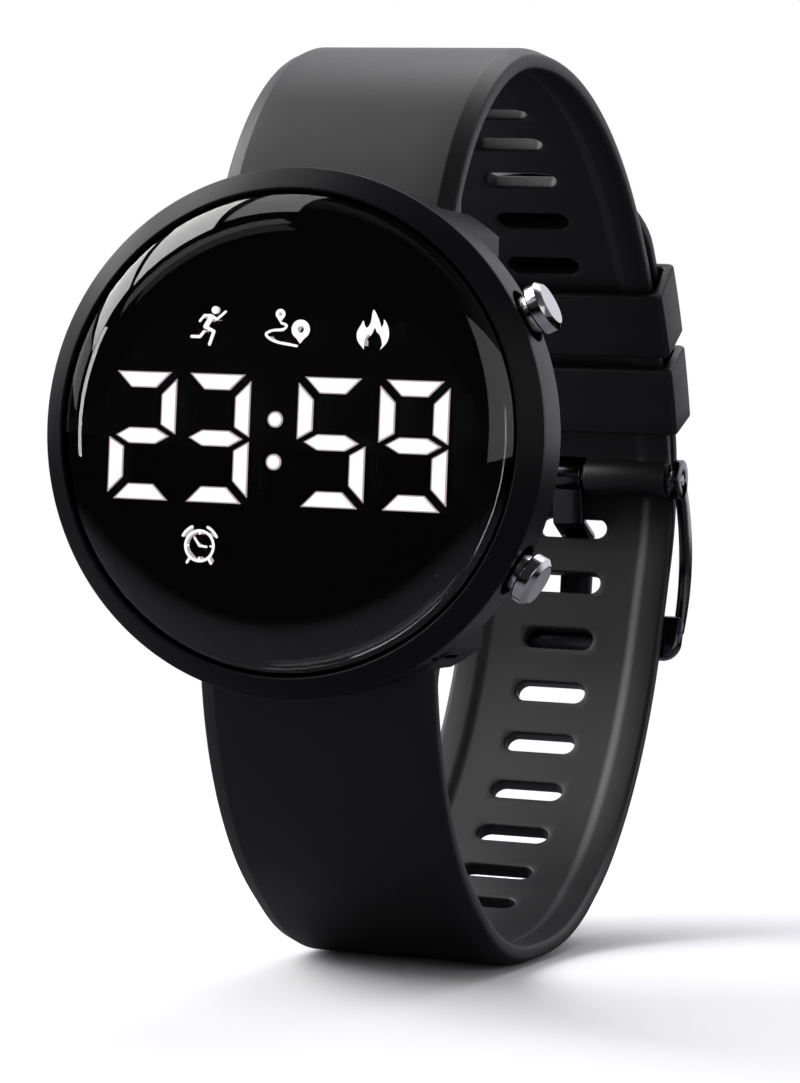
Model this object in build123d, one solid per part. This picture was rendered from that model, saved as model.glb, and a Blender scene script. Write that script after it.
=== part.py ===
"""Round digital watch on a closed silicone strap, built as its separate pieces.

Units are millimetres. The origin lies on the floor under the flat spot of the strap,
+Z is up, the dial looks along -Y and +X is the side of the two pushers.
"""
import math
import os

from build123d import *

# Strap and its loop, driving sizes
strap_width = 20.0
strap_thickness = 1.8
edge_chamfer_width = 1.5
edge_chamfer_depth = 0.7
recess_depth = 0.3
recess_border = 2.4
recess_slope_width = 0.4
flat_front_length = 6.1
knuckle_radius = 2.0

# Loop bends of the strap's outer surface, each a radius and the turn it makes
toe_radius = 10.0
toe_degrees = 28.0
shin_radius = 66.8
shin_degrees = 9.1
front_radius = 31.6
front_degrees = 46.0
front_straight = 1.1
heel_radius = 10.0
heel_degrees = 18.0
rear_degrees = 54.5
rear_straight = 8.19
crown_straight = 1.97
crown_slope_degrees = 69.9
crown_radius = 23.4
crown_degrees = 63.6
shoulder_radius = 42.9
shoulder_degrees = 46.5
back_radius = 53.9
back_degrees = 32.6
swing_radius = 20.0
swing_degrees = 38.95
layer_gap = 0.4
tip_degrees = 30.9

# Strap slots
slot_length = 6.8
slot_width = 2.0
slot_pitch = 5.65
path_steps = 4000
tongue_slot_from_bar = 5.8
long_slots_below = 8
long_slots_above = 3
short_slot_count = 6
short_first_slot = 47.85

# Strap keepers
keeper_length = 7.0
keeper_wall = 0.75
keeper_side_wall = 0.9
keeper_clearance = 0.1
keeper_side_clearance = 0.3
keeper_corner = 0.6
upper_keeper_degrees = 35.1
lower_keeper_degrees = 26.05

# Case
case_radius = 20.7
dial_depth_to_bar = 8.7
lug_bar_inset = 5.45
dial_height_to_bar = case_radius - lug_bar_inset
barrel_depth = 4.3
bowl_taper = 3.3
bowl_radius = case_radius - bowl_taper
case_depth = 9.4
seat_depth = 0.2
mask_ledge_depth = 0.9
front_cavity_depth = 4.0
mid_cavity_depth = 6.0
lug_side_clearance = 0.25
lug_width = 2.55
lug_inner = strap_width / 2 + lug_side_clearance
lug_outer = lug_inner + lug_width
lug_depth = 11.1
lug_start_inset = 4.05
lug_foot_inset = 1.05
lug_foot_rise = 1.6
lug_start_height = dial_height_to_bar - lug_start_inset
lug_foot_height = dial_height_to_bar - lug_foot_inset
lug_foot_start = lug_foot_height - lug_foot_rise
strap_pocket_clearance = 0.35

# Bezel ring and lens
bezel_width = 1.8
bezel_inner_radius = case_radius - bezel_width
bezel_rise = 1.4
bezel_lip_height = 0.78
lens_gap = 0.35
lens_radius = bezel_inner_radius - lens_gap
flange_width = 0.7
flange_radius = lens_radius + flange_width
lens_back_height = 0.3
flange_thickness = 0.4
lens_edge_height = 0.95
shoulder_blend = 2.2
lens_apex_height = 3.2
shoulder_middle_shares = (0.27, 0.72)
lens_gasket_inset = 0.4
lens_gasket_inner = lens_radius - lens_gasket_inset
part_clearance = 0.1

# Display behind the lens
mask_inset = 0.5
mask_radius = lens_radius - mask_inset
mask_front_height = 0.2
digit_height_share = 0.554
digit_width_share = 0.31
digit_height = mask_radius * digit_height_share
digit_width = mask_radius * digit_width_share
digit_stroke_share = 0.223
digit_stroke = digit_width * digit_stroke_share
corner_gap_share = 0.4
waist_gap_share = 0.144
waist_rise_share = 0.576
bar_inset_share = 0.456
bar_point_share = 0.904
digit_middle_share = -0.031
digit_centre_shares = (-0.6593, -0.3158, 0.2138, 0.5817)
colon_radius_share = 0.0343
colon_across_share = -0.0432
colon_height_shares = (0.0593, -0.1224)
icon_centre_shares = ((-0.3795, 0.4515), (-0.0111, 0.4571), (0.3795, 0.4543))
icon_size = 3.1
alarm_centre_shares = (-0.3712, -0.4931)
alarm_radius = 1.15
icon_line = 0.26
icon_limb = 0.34
icon_thin_line = 0.21
big_pin_radius = 0.57
small_pin_radius = 0.34
window_clearance = 0.03
light_depth = 0.9
led_length = 1.6
led_width = 0.8
led_height = 0.55
led_board_clearance = 0.5
board_thickness = 0.8
led_board_depth = 1.6

# Places on the display, from the mask's radius
digit_middle = mask_radius * digit_middle_share
digit_centres = [mask_radius * share for share in digit_centre_shares]
colon_radius = mask_radius * colon_radius_share
colon_across = mask_radius * colon_across_share
colon_heights = [mask_radius * share for share in colon_height_shares]
icon_centres = [(mask_radius * x, mask_radius * y) for x, y in icon_centre_shares]
alarm_centre = [mask_radius * share for share in alarm_centre_shares]

# Electronics, battery and sounder
mask_ledge_width = 0.85
front_cavity_radius = mask_radius - mask_ledge_width
module_ledge_width = 1.2
mid_cavity_radius = front_cavity_radius - module_ledge_width
led_board_radius = front_cavity_radius - led_board_clearance
frame_clearance = 0.15
frame_flange_radius = front_cavity_radius - frame_clearance
frame_skirt_radius = mid_cavity_radius - frame_clearance
frame_wall = 0.95
frame_bore_radius = frame_skirt_radius - frame_wall
frame_ledge_width = 1.0
frame_ledge_radius = frame_bore_radius - frame_ledge_width
main_board_radius = frame_bore_radius - part_clearance
main_board_depth = 4.2
chip_side = 5.0
chip_height = 0.9
chip_place_shares = (-0.338, 0.27)
crystal_length = 3.2
crystal_width = 1.5
crystal_height = 0.8
crystal_place_shares = (0.2365, 0.4054)
sensor_length = 3.0
sensor_width = 2.5
sensor_place_shares = (0.2027, -0.3716)
cell_height = 2.5
cell_cap_inset = 1.4
cell_cap_height = 0.35
clip_thickness = 0.2
clip_width = 4.0
clip_gap = 0.25
pad_height = 0.35
pad_radius = 2.0
sounder_inset = 1.9
sounder_thickness = 0.3
sounder_crystal_inset = 2.5

# Case back
back_pocket_gap = 0.6
back_half_height = dial_height_to_bar - knuckle_radius - strap_pocket_clearance - back_pocket_gap
back_plate_inset = 1.4
back_plate_radius = bowl_radius - back_plate_inset
cavity_wall = 1.4
rear_cavity_radius = back_half_height - cavity_wall
cell_room = 0.9
cell_radius = rear_cavity_radius - cell_room
cell_cap_radius = cell_radius - cell_cap_inset
sounder_radius = rear_cavity_radius - sounder_inset
sounder_crystal_radius = sounder_radius - sounder_crystal_inset
back_thickness = 1.2
back_chamfer = 0.4
back_rim_inset = 3.0
back_rim_radius = back_plate_radius - back_rim_inset
back_rim_depth = 0.25
gasket_section = 0.5
screw_edge_inset = 0.715
screw_degrees = 32.44
screw_head_radius = 1.1
screw_head_height = 0.6
screw_shank_radius = 0.6
screw_length = 2.9
screw_slot_width = 0.35
screw_slot_depth = 0.3

# Pushers
pusher_degrees = 28.3
pusher_depth = 2.55
pusher_stand = 2.05
pusher_reach = case_radius + pusher_stand
pusher_head_radius = 2.05
pusher_head_length = 1.35
pusher_head_bevel = 0.35
pusher_neck_radius = 1.55
pusher_neck_length = 1.2
pusher_shaft_radius = 0.75
pocket_radius = 2.2
pocket_depth = 1.85
pocket_floor = case_radius - pocket_depth
pusher_spring_wire = 0.2
pusher_spring_radius = 1.15
pusher_seal_section = 0.4
pusher_seal_inset = 0.65
pusher_seal_at = pocket_floor - pusher_seal_inset
pusher_clip_inset = 0.2
pusher_clip_at = front_cavity_radius - pusher_clip_inset
pusher_clip_radius = 1.35
pusher_clip_thickness = 0.25
pusher_clip_groove = 0.2
clip_mouth_share = 0.8
pusher_tail = 1.1
pusher_end = pusher_clip_at - pusher_tail
running_clearance = 0.04
switch_width = 2.0
switch_thickness = 0.15
switch_gap = 0.05
switch_foot_length = 2.4
notch_half_width = 2.3
notch_overlap = 0.6
notch_start = frame_ledge_radius - notch_overlap

# Lug bars and buckle
lug_bar_radius = 0.75
lug_pin_radius = 0.45
lug_pin_reach = 1.6
bar_fit = 0.03
buckle_bar_radius = 0.7
buckle_knuckle_radius = 1.75
buckle_notch_width = 3.7
tongue_width = 3.0
tongue_thickness = 1.0
tongue_skin_gap = 0.35
tongue_degrees = 75.0
tongue_tip_rise = 0.15
tongue_barrel_radius = 1.45
frame_side_clearance = 0.3
frame_arm_width = 1.1
frame_arm_inner = strap_width / 2 + frame_side_clearance
frame_arm_outer = frame_arm_inner + frame_arm_width
frame_arm_depth = 1.5
frame_eye_radius = 1.9
frame_bar_thickness = 1.6
frame_bar_height = 4.3
frame_bar_clearance = 0.3
frame_edge_round = 0.4
frame_bar_from_slot = 10.0
frame_bow = 1.5
frame_knee_share = 0.68


def turned(point, heading, radius, turn):
    """One bend of a path: middle and end points and the new heading; a positive turn goes left."""
    side = math.copysign(1.0, turn)
    centre_angle = math.radians(heading + side * 90.0)
    centre = (point[0] + radius * math.cos(centre_angle), point[1] + radius * math.sin(centre_angle))

    def on_arc(part_turn):
        angle = math.radians(heading + part_turn - side * 90.0)
        return (centre[0] + radius * math.cos(angle), centre[1] + radius * math.sin(angle))

    return on_arc(turn / 2), on_arc(turn), heading + turn, centre


def ahead(point, heading, length):
    """The point a length further along a heading."""
    angle = math.radians(heading)
    return (point[0] + length * math.cos(angle), point[1] + length * math.sin(angle))


class Trail:
    """A run of tangent bends and straights in the side view, kept as stretches of three points."""

    def __init__(self, start, heading):
        self.point = start
        self.heading = heading
        self.stretches = []
        self.centre = None

    def straight(self, length):
        end = ahead(self.point, self.heading, length)
        middle = ahead(self.point, self.heading, length / 2)
        self.stretches.append((self.point, middle, end, False))
        self.point = end
        return self

    def bend(self, radius, turn):
        middle, end, heading, centre = turned(self.point, self.heading, radius, turn)
        self.stretches.append((self.point, middle, end, True))
        self.point = end
        self.heading = heading
        self.centre = centre
        return self


def backwards(stretches):
    """The same stretches walked from their far end."""
    return [(end, middle, start, bent) for start, middle, end, bent in reversed(stretches)]


def as_wire(stretches):
    """Edges of the stretches in the YZ plane, joined to one wire."""
    edges = []
    for start, middle, end, bent in stretches:
        a = Vector(0, start[0], start[1])
        b = Vector(0, middle[0], middle[1])
        c = Vector(0, end[0], end[1])
        edges.append(Edge.make_three_point_arc(a, b, c) if bent else Edge.make_line(a, c))
    return Wire(edges)


# Front of the loop, from the flat spot up to the lower lug bar
front_trail = Trail((-flat_front_length, 0), 180.0)
front_trail.bend(toe_radius, -toe_degrees)
front_trail.bend(shin_radius, -shin_degrees)
front_trail.bend(front_radius, -front_degrees)
front_trail.straight(front_straight)
lower_bar = ahead(front_trail.point, front_trail.heading - 90.0, knuckle_radius)
dial_y = lower_bar[0] - dial_depth_to_bar
dial_z = lower_bar[1] + dial_height_to_bar
upper_bar = (lower_bar[0], dial_z + dial_height_to_bar)

# Short strap, from the upper lug bar over the crown and down to the buckle bar
crown_start = ahead(upper_bar, crown_slope_degrees + 90.0, knuckle_radius)
short_trail = Trail(crown_start, crown_slope_degrees)
short_trail.straight(crown_straight)
short_trail.bend(crown_radius, -crown_degrees)
short_trail.bend(shoulder_radius, -shoulder_degrees)
short_trail.bend(back_radius, -back_degrees)
back_centre = short_trail.centre
buckle_bar = ahead(short_trail.point, short_trail.heading - 90.0, buckle_knuckle_radius)
buckle_heading = short_trail.heading

# Long strap, up outside the short one: it must swing tangent onto the outer layer's circle, which
# sets the radius of its rear bend and where its flat spot ends
outer_layer_radius = back_radius + layer_gap + strap_thickness
rear_heading = heel_degrees + rear_degrees
swing_centre = ahead(back_centre, rear_heading + swing_degrees - 90.0, outer_layer_radius - swing_radius)
swing_start = ahead(swing_centre, rear_heading - 90.0, swing_radius)
rear_end = ahead(swing_start, rear_heading, -rear_straight)
heel_step = Trail((0, 0), 0.0).bend(heel_radius, heel_degrees).point
unit_step = Trail((0, 0), heel_degrees).bend(1.0, rear_degrees).point
rear_radius = (rear_end[1] - heel_step[1]) / unit_step[1]
flat_rear_length = rear_end[0] - heel_step[0] - rear_radius * unit_step[0]
rear_trail = Trail((flat_rear_length, 0), 0.0)
rear_trail.bend(heel_radius, heel_degrees)
rear_trail.bend(rear_radius, rear_degrees)
rear_trail.straight(rear_straight)
rear_trail.bend(swing_radius, swing_degrees)
rear_trail.bend(outer_layer_radius, tip_degrees)

dial = Plane(origin=(0, dial_y, dial_z), x_dir=(1, 0, 0), z_dir=(0, -1, 0))


def ring_profile(points):
    """A solid of revolution about the dial axis from points given as radius and height."""
    face = make_face(Polyline(*[(radius, 0, height) for radius, height in points], close=True))
    return dial * revolve(face, Axis.Z)


def flat_ring(outer, inner, top, bottom):
    """A plain ring or, with no inner radius, a disc about the dial axis."""
    if inner > 0:
        return ring_profile([(inner, top), (outer, top), (outer, bottom), (inner, bottom)])
    return ring_profile([(0, top), (outer, top), (outer, bottom), (0, bottom)])


def dial_block(across, rise, height, length, width, tall):
    """A block square to the dial; height is that of its middle."""
    return dial * Pos(across, rise, height) * Box(length, width, tall)


def side_plane(across):
    """The side view at a distance across; its x is row Y and its y is row Z."""
    return Plane(origin=(across, 0, 0), x_dir=(0, 1, 0), z_dir=(1, 0, 0))


def cross_rod(point, radius, half_length):
    """A rod along X through a point of the side view."""
    rod = Cylinder(radius, 2 * half_length)
    return Plane(origin=(0, point[0], point[1]), z_dir=(1, 0, 0)) * rod


def coil(base_plane, radius, wire, turns, length):
    """A round wire spring standing on a plane, its wire lying between both ends."""
    rise = length - wire
    path = Helix(pitch=rise / turns, height=rise, radius=radius)
    section = Plane(origin=path @ 0, z_dir=path % 0) * Circle(wire / 2)
    spring = sweep(section, path=path)
    return base_plane * Pos(0, 0, wire / 2) * spring


# Strap pieces


def strap_section(path):
    """The moulded section at the start of a path: chamfered outside, shallow panel inside."""
    half = strap_width / 2
    panel = half - recess_border
    floor = panel - recess_slope_width
    right = [
        (half - edge_chamfer_width, 0),
        (half, -edge_chamfer_depth),
        (half, -strap_thickness),
        (panel, -strap_thickness),
        (floor, recess_depth - strap_thickness),
    ]
    left = [(-x, y) for x, y in reversed(right)]
    plane = Plane(origin=path @ 0, x_dir=(outward_side(path), 0, 0), z_dir=path % 0)
    return plane * make_face(Polyline(*right, *left, close=True))


def outward_side(path):
    """The sign of X that makes the section's y point out of the loop at the path's start."""
    return 1 if (path % 0).Z < 0 else -1


def strap_knuckle(bar, radius):
    """The thick end of a strap round its bar, chamfered like the strap."""
    half = strap_width / 2
    points = [
        (0, -half),
        (radius - edge_chamfer_depth, -half),
        (radius, edge_chamfer_width - half),
        (radius, half - edge_chamfer_width),
        (radius - edge_chamfer_depth, half),
        (0, half),
    ]
    face = make_face(Polyline(*[(x, 0, z) for x, z in points], close=True))
    turned_end = revolve(face, Axis.Z)
    return Plane(origin=(0, bar[0], bar[1]), z_dir=(1, 0, 0)) * turned_end


def slot_cutters(path, distances):
    """Round-ended cutters standing square to the strap at distances along its path."""
    cutters = []
    for distance in distances:
        place = path.position_at(distance, position_mode=PositionMode.LENGTH)
        along = path.tangent_at(distance, position_mode=PositionMode.LENGTH)
        outward = Vector(0, along.Z, -along.Y)
        plane = Plane(origin=place, x_dir=(1, 0, 0), z_dir=outward)
        cutters.append(plane * extrude(SlotOverall(slot_length, slot_width), 2 * strap_thickness, both=True))
    return cutters


def length_to_bar(path, bar):
    """Distance along a path to its point nearest a bar."""
    target = Vector(0, bar[0], bar[1])
    gap = [(path.position_at(step / path_steps) - target).length for step in range(path_steps + 1)]
    return path.length * gap.index(min(gap)) / path_steps


def build_strap_short():
    path = as_wire(short_trail.stretches)
    strap = sweep(strap_section(path), path=path)
    strap += strap_knuckle(upper_bar, knuckle_radius)
    strap += strap_knuckle(buckle_bar, buckle_knuckle_radius)
    strap -= cross_rod(upper_bar, lug_bar_radius + bar_fit, strap_width)
    strap -= cross_rod(buckle_bar, buckle_bar_radius + bar_fit, strap_width)
    notch_reach = 3 * buckle_knuckle_radius
    notch = Box(buckle_notch_width, notch_reach, notch_reach)
    notch_rise = buckle_bar[1] - notch_reach / 2 + buckle_knuckle_radius + part_clearance
    strap -= Pos(0, buckle_bar[0], notch_rise) * notch
    distances = [short_first_slot + slot_pitch * index for index in range(short_slot_count)]
    for cutter in slot_cutters(path, distances):
        strap -= cutter
    return strap


def long_path():
    """The whole path of the long strap's outer surface, from the lug bar to its tip."""
    flat = Trail((-flat_front_length, 0), 0.0).straight(flat_front_length + flat_rear_length)
    return as_wire(backwards(front_trail.stretches) + flat.stretches + rear_trail.stretches)


def tongue_slot_distance(path):
    """Distance along the long strap to the slot that the buckle's tongue passes through."""
    return length_to_bar(path, buckle_bar) - tongue_slot_from_bar


def build_strap_long():
    path = long_path()
    strap = sweep(strap_section(path), path=path)
    strap += strap_knuckle(lower_bar, knuckle_radius)
    strap -= cross_rod(lower_bar, lug_bar_radius + bar_fit, strap_width)
    tongue_at = tongue_slot_distance(path)
    distances = [tongue_at - slot_pitch * index for index in range(long_slots_below + 1)]
    distances += [tongue_at + slot_pitch * (index + 1) for index in range(long_slots_above)]
    for cutter in slot_cutters(path, distances):
        strap -= cutter
    return strap - tip_cutter(path)


def tip_cutter(path):
    """What is taken off the strap's free end to leave it round."""
    end = path @ 1
    along = path % 1
    plane = Plane(origin=end, x_dir=(1, 0, 0), z_dir=Vector(0, along.Z, -along.Y))
    half = strap_width / 2
    square_end = Rectangle(2 * strap_width, strap_width)
    round_end = Pos(0, half) * Circle(half)
    return plane * extrude(square_end - round_end, 3 * strap_thickness, both=True)


def build_keeper(angle):
    """A closed band round both layers, bent about the middle of the strap's back arc."""
    inside = back_radius - strap_thickness - keeper_clearance
    outside = outer_layer_radius + keeper_clearance
    half_turn = math.degrees(keeper_length / back_radius) / 2
    inner_half = strap_width / 2 + keeper_side_clearance
    outer_half = inner_half + keeper_side_wall

    def sector(low, high, half_width, corner):
        points = [
            (low, -half_width + corner),
            (low + corner, -half_width),
            (high - corner, -half_width),
            (high, -half_width + corner),
            (high, half_width - corner),
            (high - corner, half_width),
            (low + corner, half_width),
            (low, half_width - corner),
        ]
        face = make_face(Polyline(*[(x, 0, z) for x, z in points], close=True))
        swept = revolve(face, Axis.Z, 2 * half_turn)
        centre = Plane(origin=(0, back_centre[0], back_centre[1]), x_dir=(0, 1, 0), z_dir=(1, 0, 0))
        return centre * Rot(0, 0, angle - half_turn) * swept

    band = sector(inside - keeper_wall, outside + keeper_wall, outer_half, keeper_corner)
    return band - sector(inside, outside, inner_half, keeper_side_clearance)


# Case and its front


def build_case_body():
    body = ring_profile([
        (0, -seat_depth),
        (case_radius, -seat_depth),
        (case_radius, -barrel_depth),
        (bowl_radius, -case_depth),
        (0, -case_depth),
    ])
    body += lug_blocks()
    for bar, side in ((upper_bar, 1), (lower_bar, -1)):
        body -= strap_pocket(bar, side)
        body -= cross_rod(bar, lug_pin_radius + bar_fit, lug_inner + lug_pin_reach + part_clearance)
    body -= flat_ring(flange_radius, 0, 0, -seat_depth)
    body -= flat_ring(mask_radius + window_clearance, 0, 0, -mask_ledge_depth)
    body -= flat_ring(front_cavity_radius, 0, 0, -front_cavity_depth)
    body -= flat_ring(mid_cavity_radius, 0, 0, -mid_cavity_depth)
    body -= flat_ring(rear_cavity_radius, 0, 0, -case_depth)
    gasket_outer = rear_cavity_radius + gasket_section + 2 * window_clearance
    body -= flat_ring(gasket_outer, 0, gasket_section - case_depth, -case_depth)
    for plane in pusher_planes():
        body -= plane * Pos(0, 0, pocket_floor + pocket_depth) * Cylinder(pocket_radius, 2 * pocket_depth)
        body -= plane * Pos(0, 0, pusher_seal_at) * Cylinder(
            pusher_shaft_radius + running_clearance, case_radius - mid_cavity_radius
        )
        body -= plane * Pos(0, 0, pusher_seal_at) * Cylinder(
            pusher_shaft_radius + pusher_seal_section, pusher_seal_section + 2 * window_clearance
        )
    for place in screw_places():
        body -= place * Cylinder(screw_shank_radius, 2 * (screw_length + part_clearance))
    return body


def lug_blocks():
    """Four ears that carry the barrel's round wall back past the strap ends."""
    profile = [
        (lug_start_height, -seat_depth - barrel_depth / 2),
        (case_radius, -seat_depth - barrel_depth / 2),
        (case_radius, -lug_depth),
        (lug_foot_height, -lug_depth),
        (lug_foot_start, -case_depth),
        (lug_start_height, -barrel_depth),
    ]
    outline = make_face(Polyline(*[(0, rise, height) for rise, height in profile], close=True))
    ear = extrude(outline, lug_outer, dir=(1, 0, 0))
    ears = ear + mirror(ear, Plane.YZ)
    ears += mirror(ears, Plane.XZ)
    tube = Pos(0, 0, -lug_depth / 2) * Cylinder(case_radius, 2 * lug_depth)
    ears = ears & tube
    return dial * ears


def strap_pocket(bar, side):
    """The gap between two lugs that the strap's knuckle sits in."""
    radius = knuckle_radius + strap_pocket_clearance
    round_gap = cross_rod(bar, radius, lug_inner)
    tall = case_radius
    rise = dial_height_to_bar + tall / 2
    outward_gap = dial_block(0, side * rise, -dial_depth_to_bar, 2 * lug_inner, tall, 2 * radius)
    behind = dial_block(
        0, side * (rise - radius), -dial_depth_to_bar - tall / 2, 2 * lug_inner, tall, tall
    )
    return round_gap + outward_gap + behind


def pusher_planes():
    """Planes of the two pushers: origin on the dial axis, z pointing out along the pusher."""
    planes = []
    for sign in (1, -1):
        angle = math.radians(sign * pusher_degrees)
        out = Vector(math.cos(angle), 0, math.sin(angle))
        origin = (0, dial_y + pusher_depth, dial_z)
        planes.append(Plane(origin=origin, x_dir=(0, 1, 0), z_dir=out))
    return planes


def build_bezel_ring():
    lip = flange_radius + window_clearance
    return ring_profile([
        (lip, -seat_depth),
        (lip, bezel_lip_height),
        (bezel_inner_radius, bezel_lip_height),
        (bezel_inner_radius, bezel_rise),
        (case_radius, 0),
        (case_radius, -seat_depth),
    ])


def build_lens():
    """A domed window with a rounded shoulder and a thin flange under the bezel's lip."""
    top = lens_back_height + flange_thickness
    crown_edge = lens_radius - shoulder_blend
    crown_height = lens_edge_height + shoulder_blend / 2
    outline = [
        Line((0, 0, lens_back_height), (flange_radius, 0, lens_back_height)),
        Line((flange_radius, 0, lens_back_height), (flange_radius, 0, top)),
        Line((flange_radius, 0, top), (lens_radius, 0, top)),
        Line((lens_radius, 0, top), (lens_radius, 0, lens_edge_height)),
    ]
    sphere_drop = lens_apex_height - crown_height
    sphere_radius = (crown_edge**2 + sphere_drop**2) / (2 * sphere_drop)
    half_angle = math.asin(crown_edge / sphere_radius) / 2
    middle = (
        sphere_radius * math.sin(half_angle),
        0,
        lens_apex_height - sphere_radius * (1 - math.cos(half_angle)),
    )
    shoulder = (
        lens_radius - shoulder_blend * shoulder_middle_shares[0],
        0,
        lens_edge_height + (crown_height - lens_edge_height) * shoulder_middle_shares[1],
    )
    outline.append(ThreePointArc((lens_radius, 0, lens_edge_height), shoulder, (crown_edge, 0, crown_height)))
    outline.append(ThreePointArc((crown_edge, 0, crown_height), middle, (0, 0, lens_apex_height)))
    outline.append(Line((0, 0, lens_apex_height), (0, 0, lens_back_height)))
    return dial * revolve(make_face(Wire(Curve() + outline)), Axis.Z)


def build_lens_gasket():
    return flat_ring(flange_radius, lens_gasket_inner, lens_back_height, -seat_depth)


# Display


def digit_strokes(centre):
    """The seven bars of one digit, by their usual letters, mitred where they meet."""
    wide = digit_width / 2
    tall = digit_height / 2
    stroke = digit_stroke
    gap = stroke * corner_gap_share
    low = stroke * waist_gap_share
    high = low + stroke * waist_rise_share
    tip = wide - stroke * bar_inset_share
    flat = tip - stroke * bar_point_share
    top_bar = [(gap - wide, tall), (wide - gap, tall)]
    top_bar += [(wide - gap - stroke, tall - stroke), (gap + stroke - wide, tall - stroke)]
    side_bar = [(wide, tall - gap), (wide, low), (wide - stroke, high), (wide - stroke, tall - gap - stroke)]
    half = stroke / 2
    middle_bar = [(-tip, 0), (-flat, half), (flat, half), (tip, 0), (flat, -half), (-flat, -half)]

    def placed(points, x_side, y_side):
        moved = [(centre + x_side * x, digit_middle + y_side * y) for x, y in points]
        return make_face(Polyline(*moved, close=True))

    return {
        "a": placed(top_bar, 1, 1),
        "b": placed(side_bar, 1, 1),
        "c": placed(side_bar, 1, -1),
        "d": placed(top_bar, 1, -1),
        "e": placed(side_bar, -1, -1),
        "f": placed(side_bar, -1, 1),
        "g": placed(middle_bar, 1, 1),
    }


lit_letters = ("abged", "abgcd", "afgcd", "abcdfg")


def digit_faces(lit):
    """All bars that are lit, or all that stay dark."""
    faces = []
    for centre, letters in zip(digit_centres, lit_letters):
        for letter, face in digit_strokes(centre).items():
            if (letter in letters) == lit:
                faces.append(face)
    return faces


def colon_faces():
    return [Pos(colon_across, height) * Circle(colon_radius) for height in colon_heights]


def thick_line(points, width):
    """A drawn line of round-ended strokes through points."""
    shape = None
    for start, end in zip(points, points[1:]):
        length = math.hypot(end[0] - start[0], end[1] - start[1])
        angle = math.degrees(math.atan2(end[1] - start[1], end[0] - start[0]))
        middle = ((start[0] + end[0]) / 2, (start[1] + end[1]) / 2)
        piece = Pos(*middle) * Rot(0, 0, angle) * SlotCenterToCenter(length, width)
        shape = piece if shape is None else shape + piece
    return shape


def scaled_points(centre, shares):
    """Points of a small drawing, given as shares of half the icon size."""
    half = icon_size / 2
    return [(centre[0] + x * half, centre[1] + y * half) for x, y in shares]


runner_head_share = (0.55, 0.78)
runner_limb_shares = (
    ((0.28, 0.45), (-0.05, -0.15), (0.35, -0.42), (0.15, -0.95)),
    ((-0.05, -0.15), (-0.45, -0.55), (-0.95, -0.58)),
    ((-0.75, 0.08), (-0.5, 0.5), (0.28, 0.45), (0.5, 0.12), (0.9, 0.22)),
)
route_line_shares = ((-0.5, 0.25), (-0.75, -0.1), (-0.15, -0.3), (-0.85, -0.6), (-0.3, -0.85), (0.5, -0.7))
route_big_pin_share = (0.5, 0.1)
pin_side_shares = (0.9, 0.45)
pin_length_share = 2.2
pin_hole_share = 0.4
route_small_pin_share = (-0.5, 0.6)
flame_outer_shares = (
    (0.0, -0.95), (-0.5, -0.75), (-0.75, -0.25), (-0.5, 0.2), (-0.38, -0.05), (-0.2, 0.35),
    (0.05, 0.95), (0.25, 0.4), (0.42, 0.1), (0.55, 0.35), (0.78, -0.25), (0.5, -0.75),
)
flame_hole_shares = ((0.0, -0.8), (-0.28, -0.5), (-0.05, -0.15), (0.08, 0.1), (0.3, -0.35), (0.25, -0.65))
alarm_bell_share = 0.72
alarm_hand_shares = ((-0.38, 0.3), (0.0, 0.0), (0.5, -0.25))


def runner_face(centre):
    head = Pos(*scaled_points(centre, [runner_head_share])[0]) * Circle(icon_line)
    shape = head
    for limb in runner_limb_shares:
        shape += thick_line(scaled_points(centre, limb), icon_limb)
    return shape


def pin_face(place, radius):
    """A map pin: a ring that runs down to a point."""
    side, drop = radius * pin_side_shares[0], radius * pin_side_shares[1]
    body = make_face(Polyline((-side, -drop), (side, -drop), (0, -radius * pin_length_share), close=True))
    return Pos(*place) * (Circle(radius) + body - Circle(radius * pin_hole_share))


def route_face(centre):
    big = scaled_points(centre, [route_big_pin_share])[0]
    small = scaled_points(centre, [route_small_pin_share])[0]
    shape = thick_line(scaled_points(centre, route_line_shares), icon_thin_line)
    return shape + pin_face(big, big_pin_radius) + pin_face(small, small_pin_radius)


def flame_face(centre):
    outer = make_face(Polyline(*scaled_points(centre, flame_outer_shares), close=True))
    hole = make_face(Polyline(*scaled_points(centre, flame_hole_shares), close=True))
    return outer - hole


def alarm_face(centre):
    """A clock ring with hands, two bells and two feet."""
    ring = Circle(alarm_radius) - Circle(alarm_radius - icon_line)
    hands = thick_line([(x * alarm_radius, y * alarm_radius) for x, y in alarm_hand_shares], icon_line)
    shape = ring + hands
    for side in (-1, 1):
        bell = Pos(side * alarm_radius * alarm_bell_share, alarm_radius * alarm_bell_share)
        shape += bell * (Rot(0, 0, -side * 45) * Pos(0, icon_line) * SlotOverall(alarm_radius, icon_limb))
        foot = (side * alarm_radius * alarm_bell_share, -alarm_radius * alarm_bell_share)
        shape += thick_line([foot, (foot[0] + side * icon_line, foot[1] - icon_limb)], icon_line)
    return Pos(*centre) * shape


def icon_faces():
    faces = [runner_face(icon_centres[0]), route_face(icon_centres[1]), flame_face(icon_centres[2])]
    faces.append(alarm_face(alarm_centre))
    return faces


def light_prisms(faces):
    """Light pieces of the display, standing in the mask's windows."""
    solids = []
    for face in faces:
        prism = extrude(dial * Pos(0, 0, mask_front_height - light_depth) * face, light_depth, dir=(0, -1, 0))
        solids.extend(prism.solids())
    return Compound(children=solids)


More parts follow.
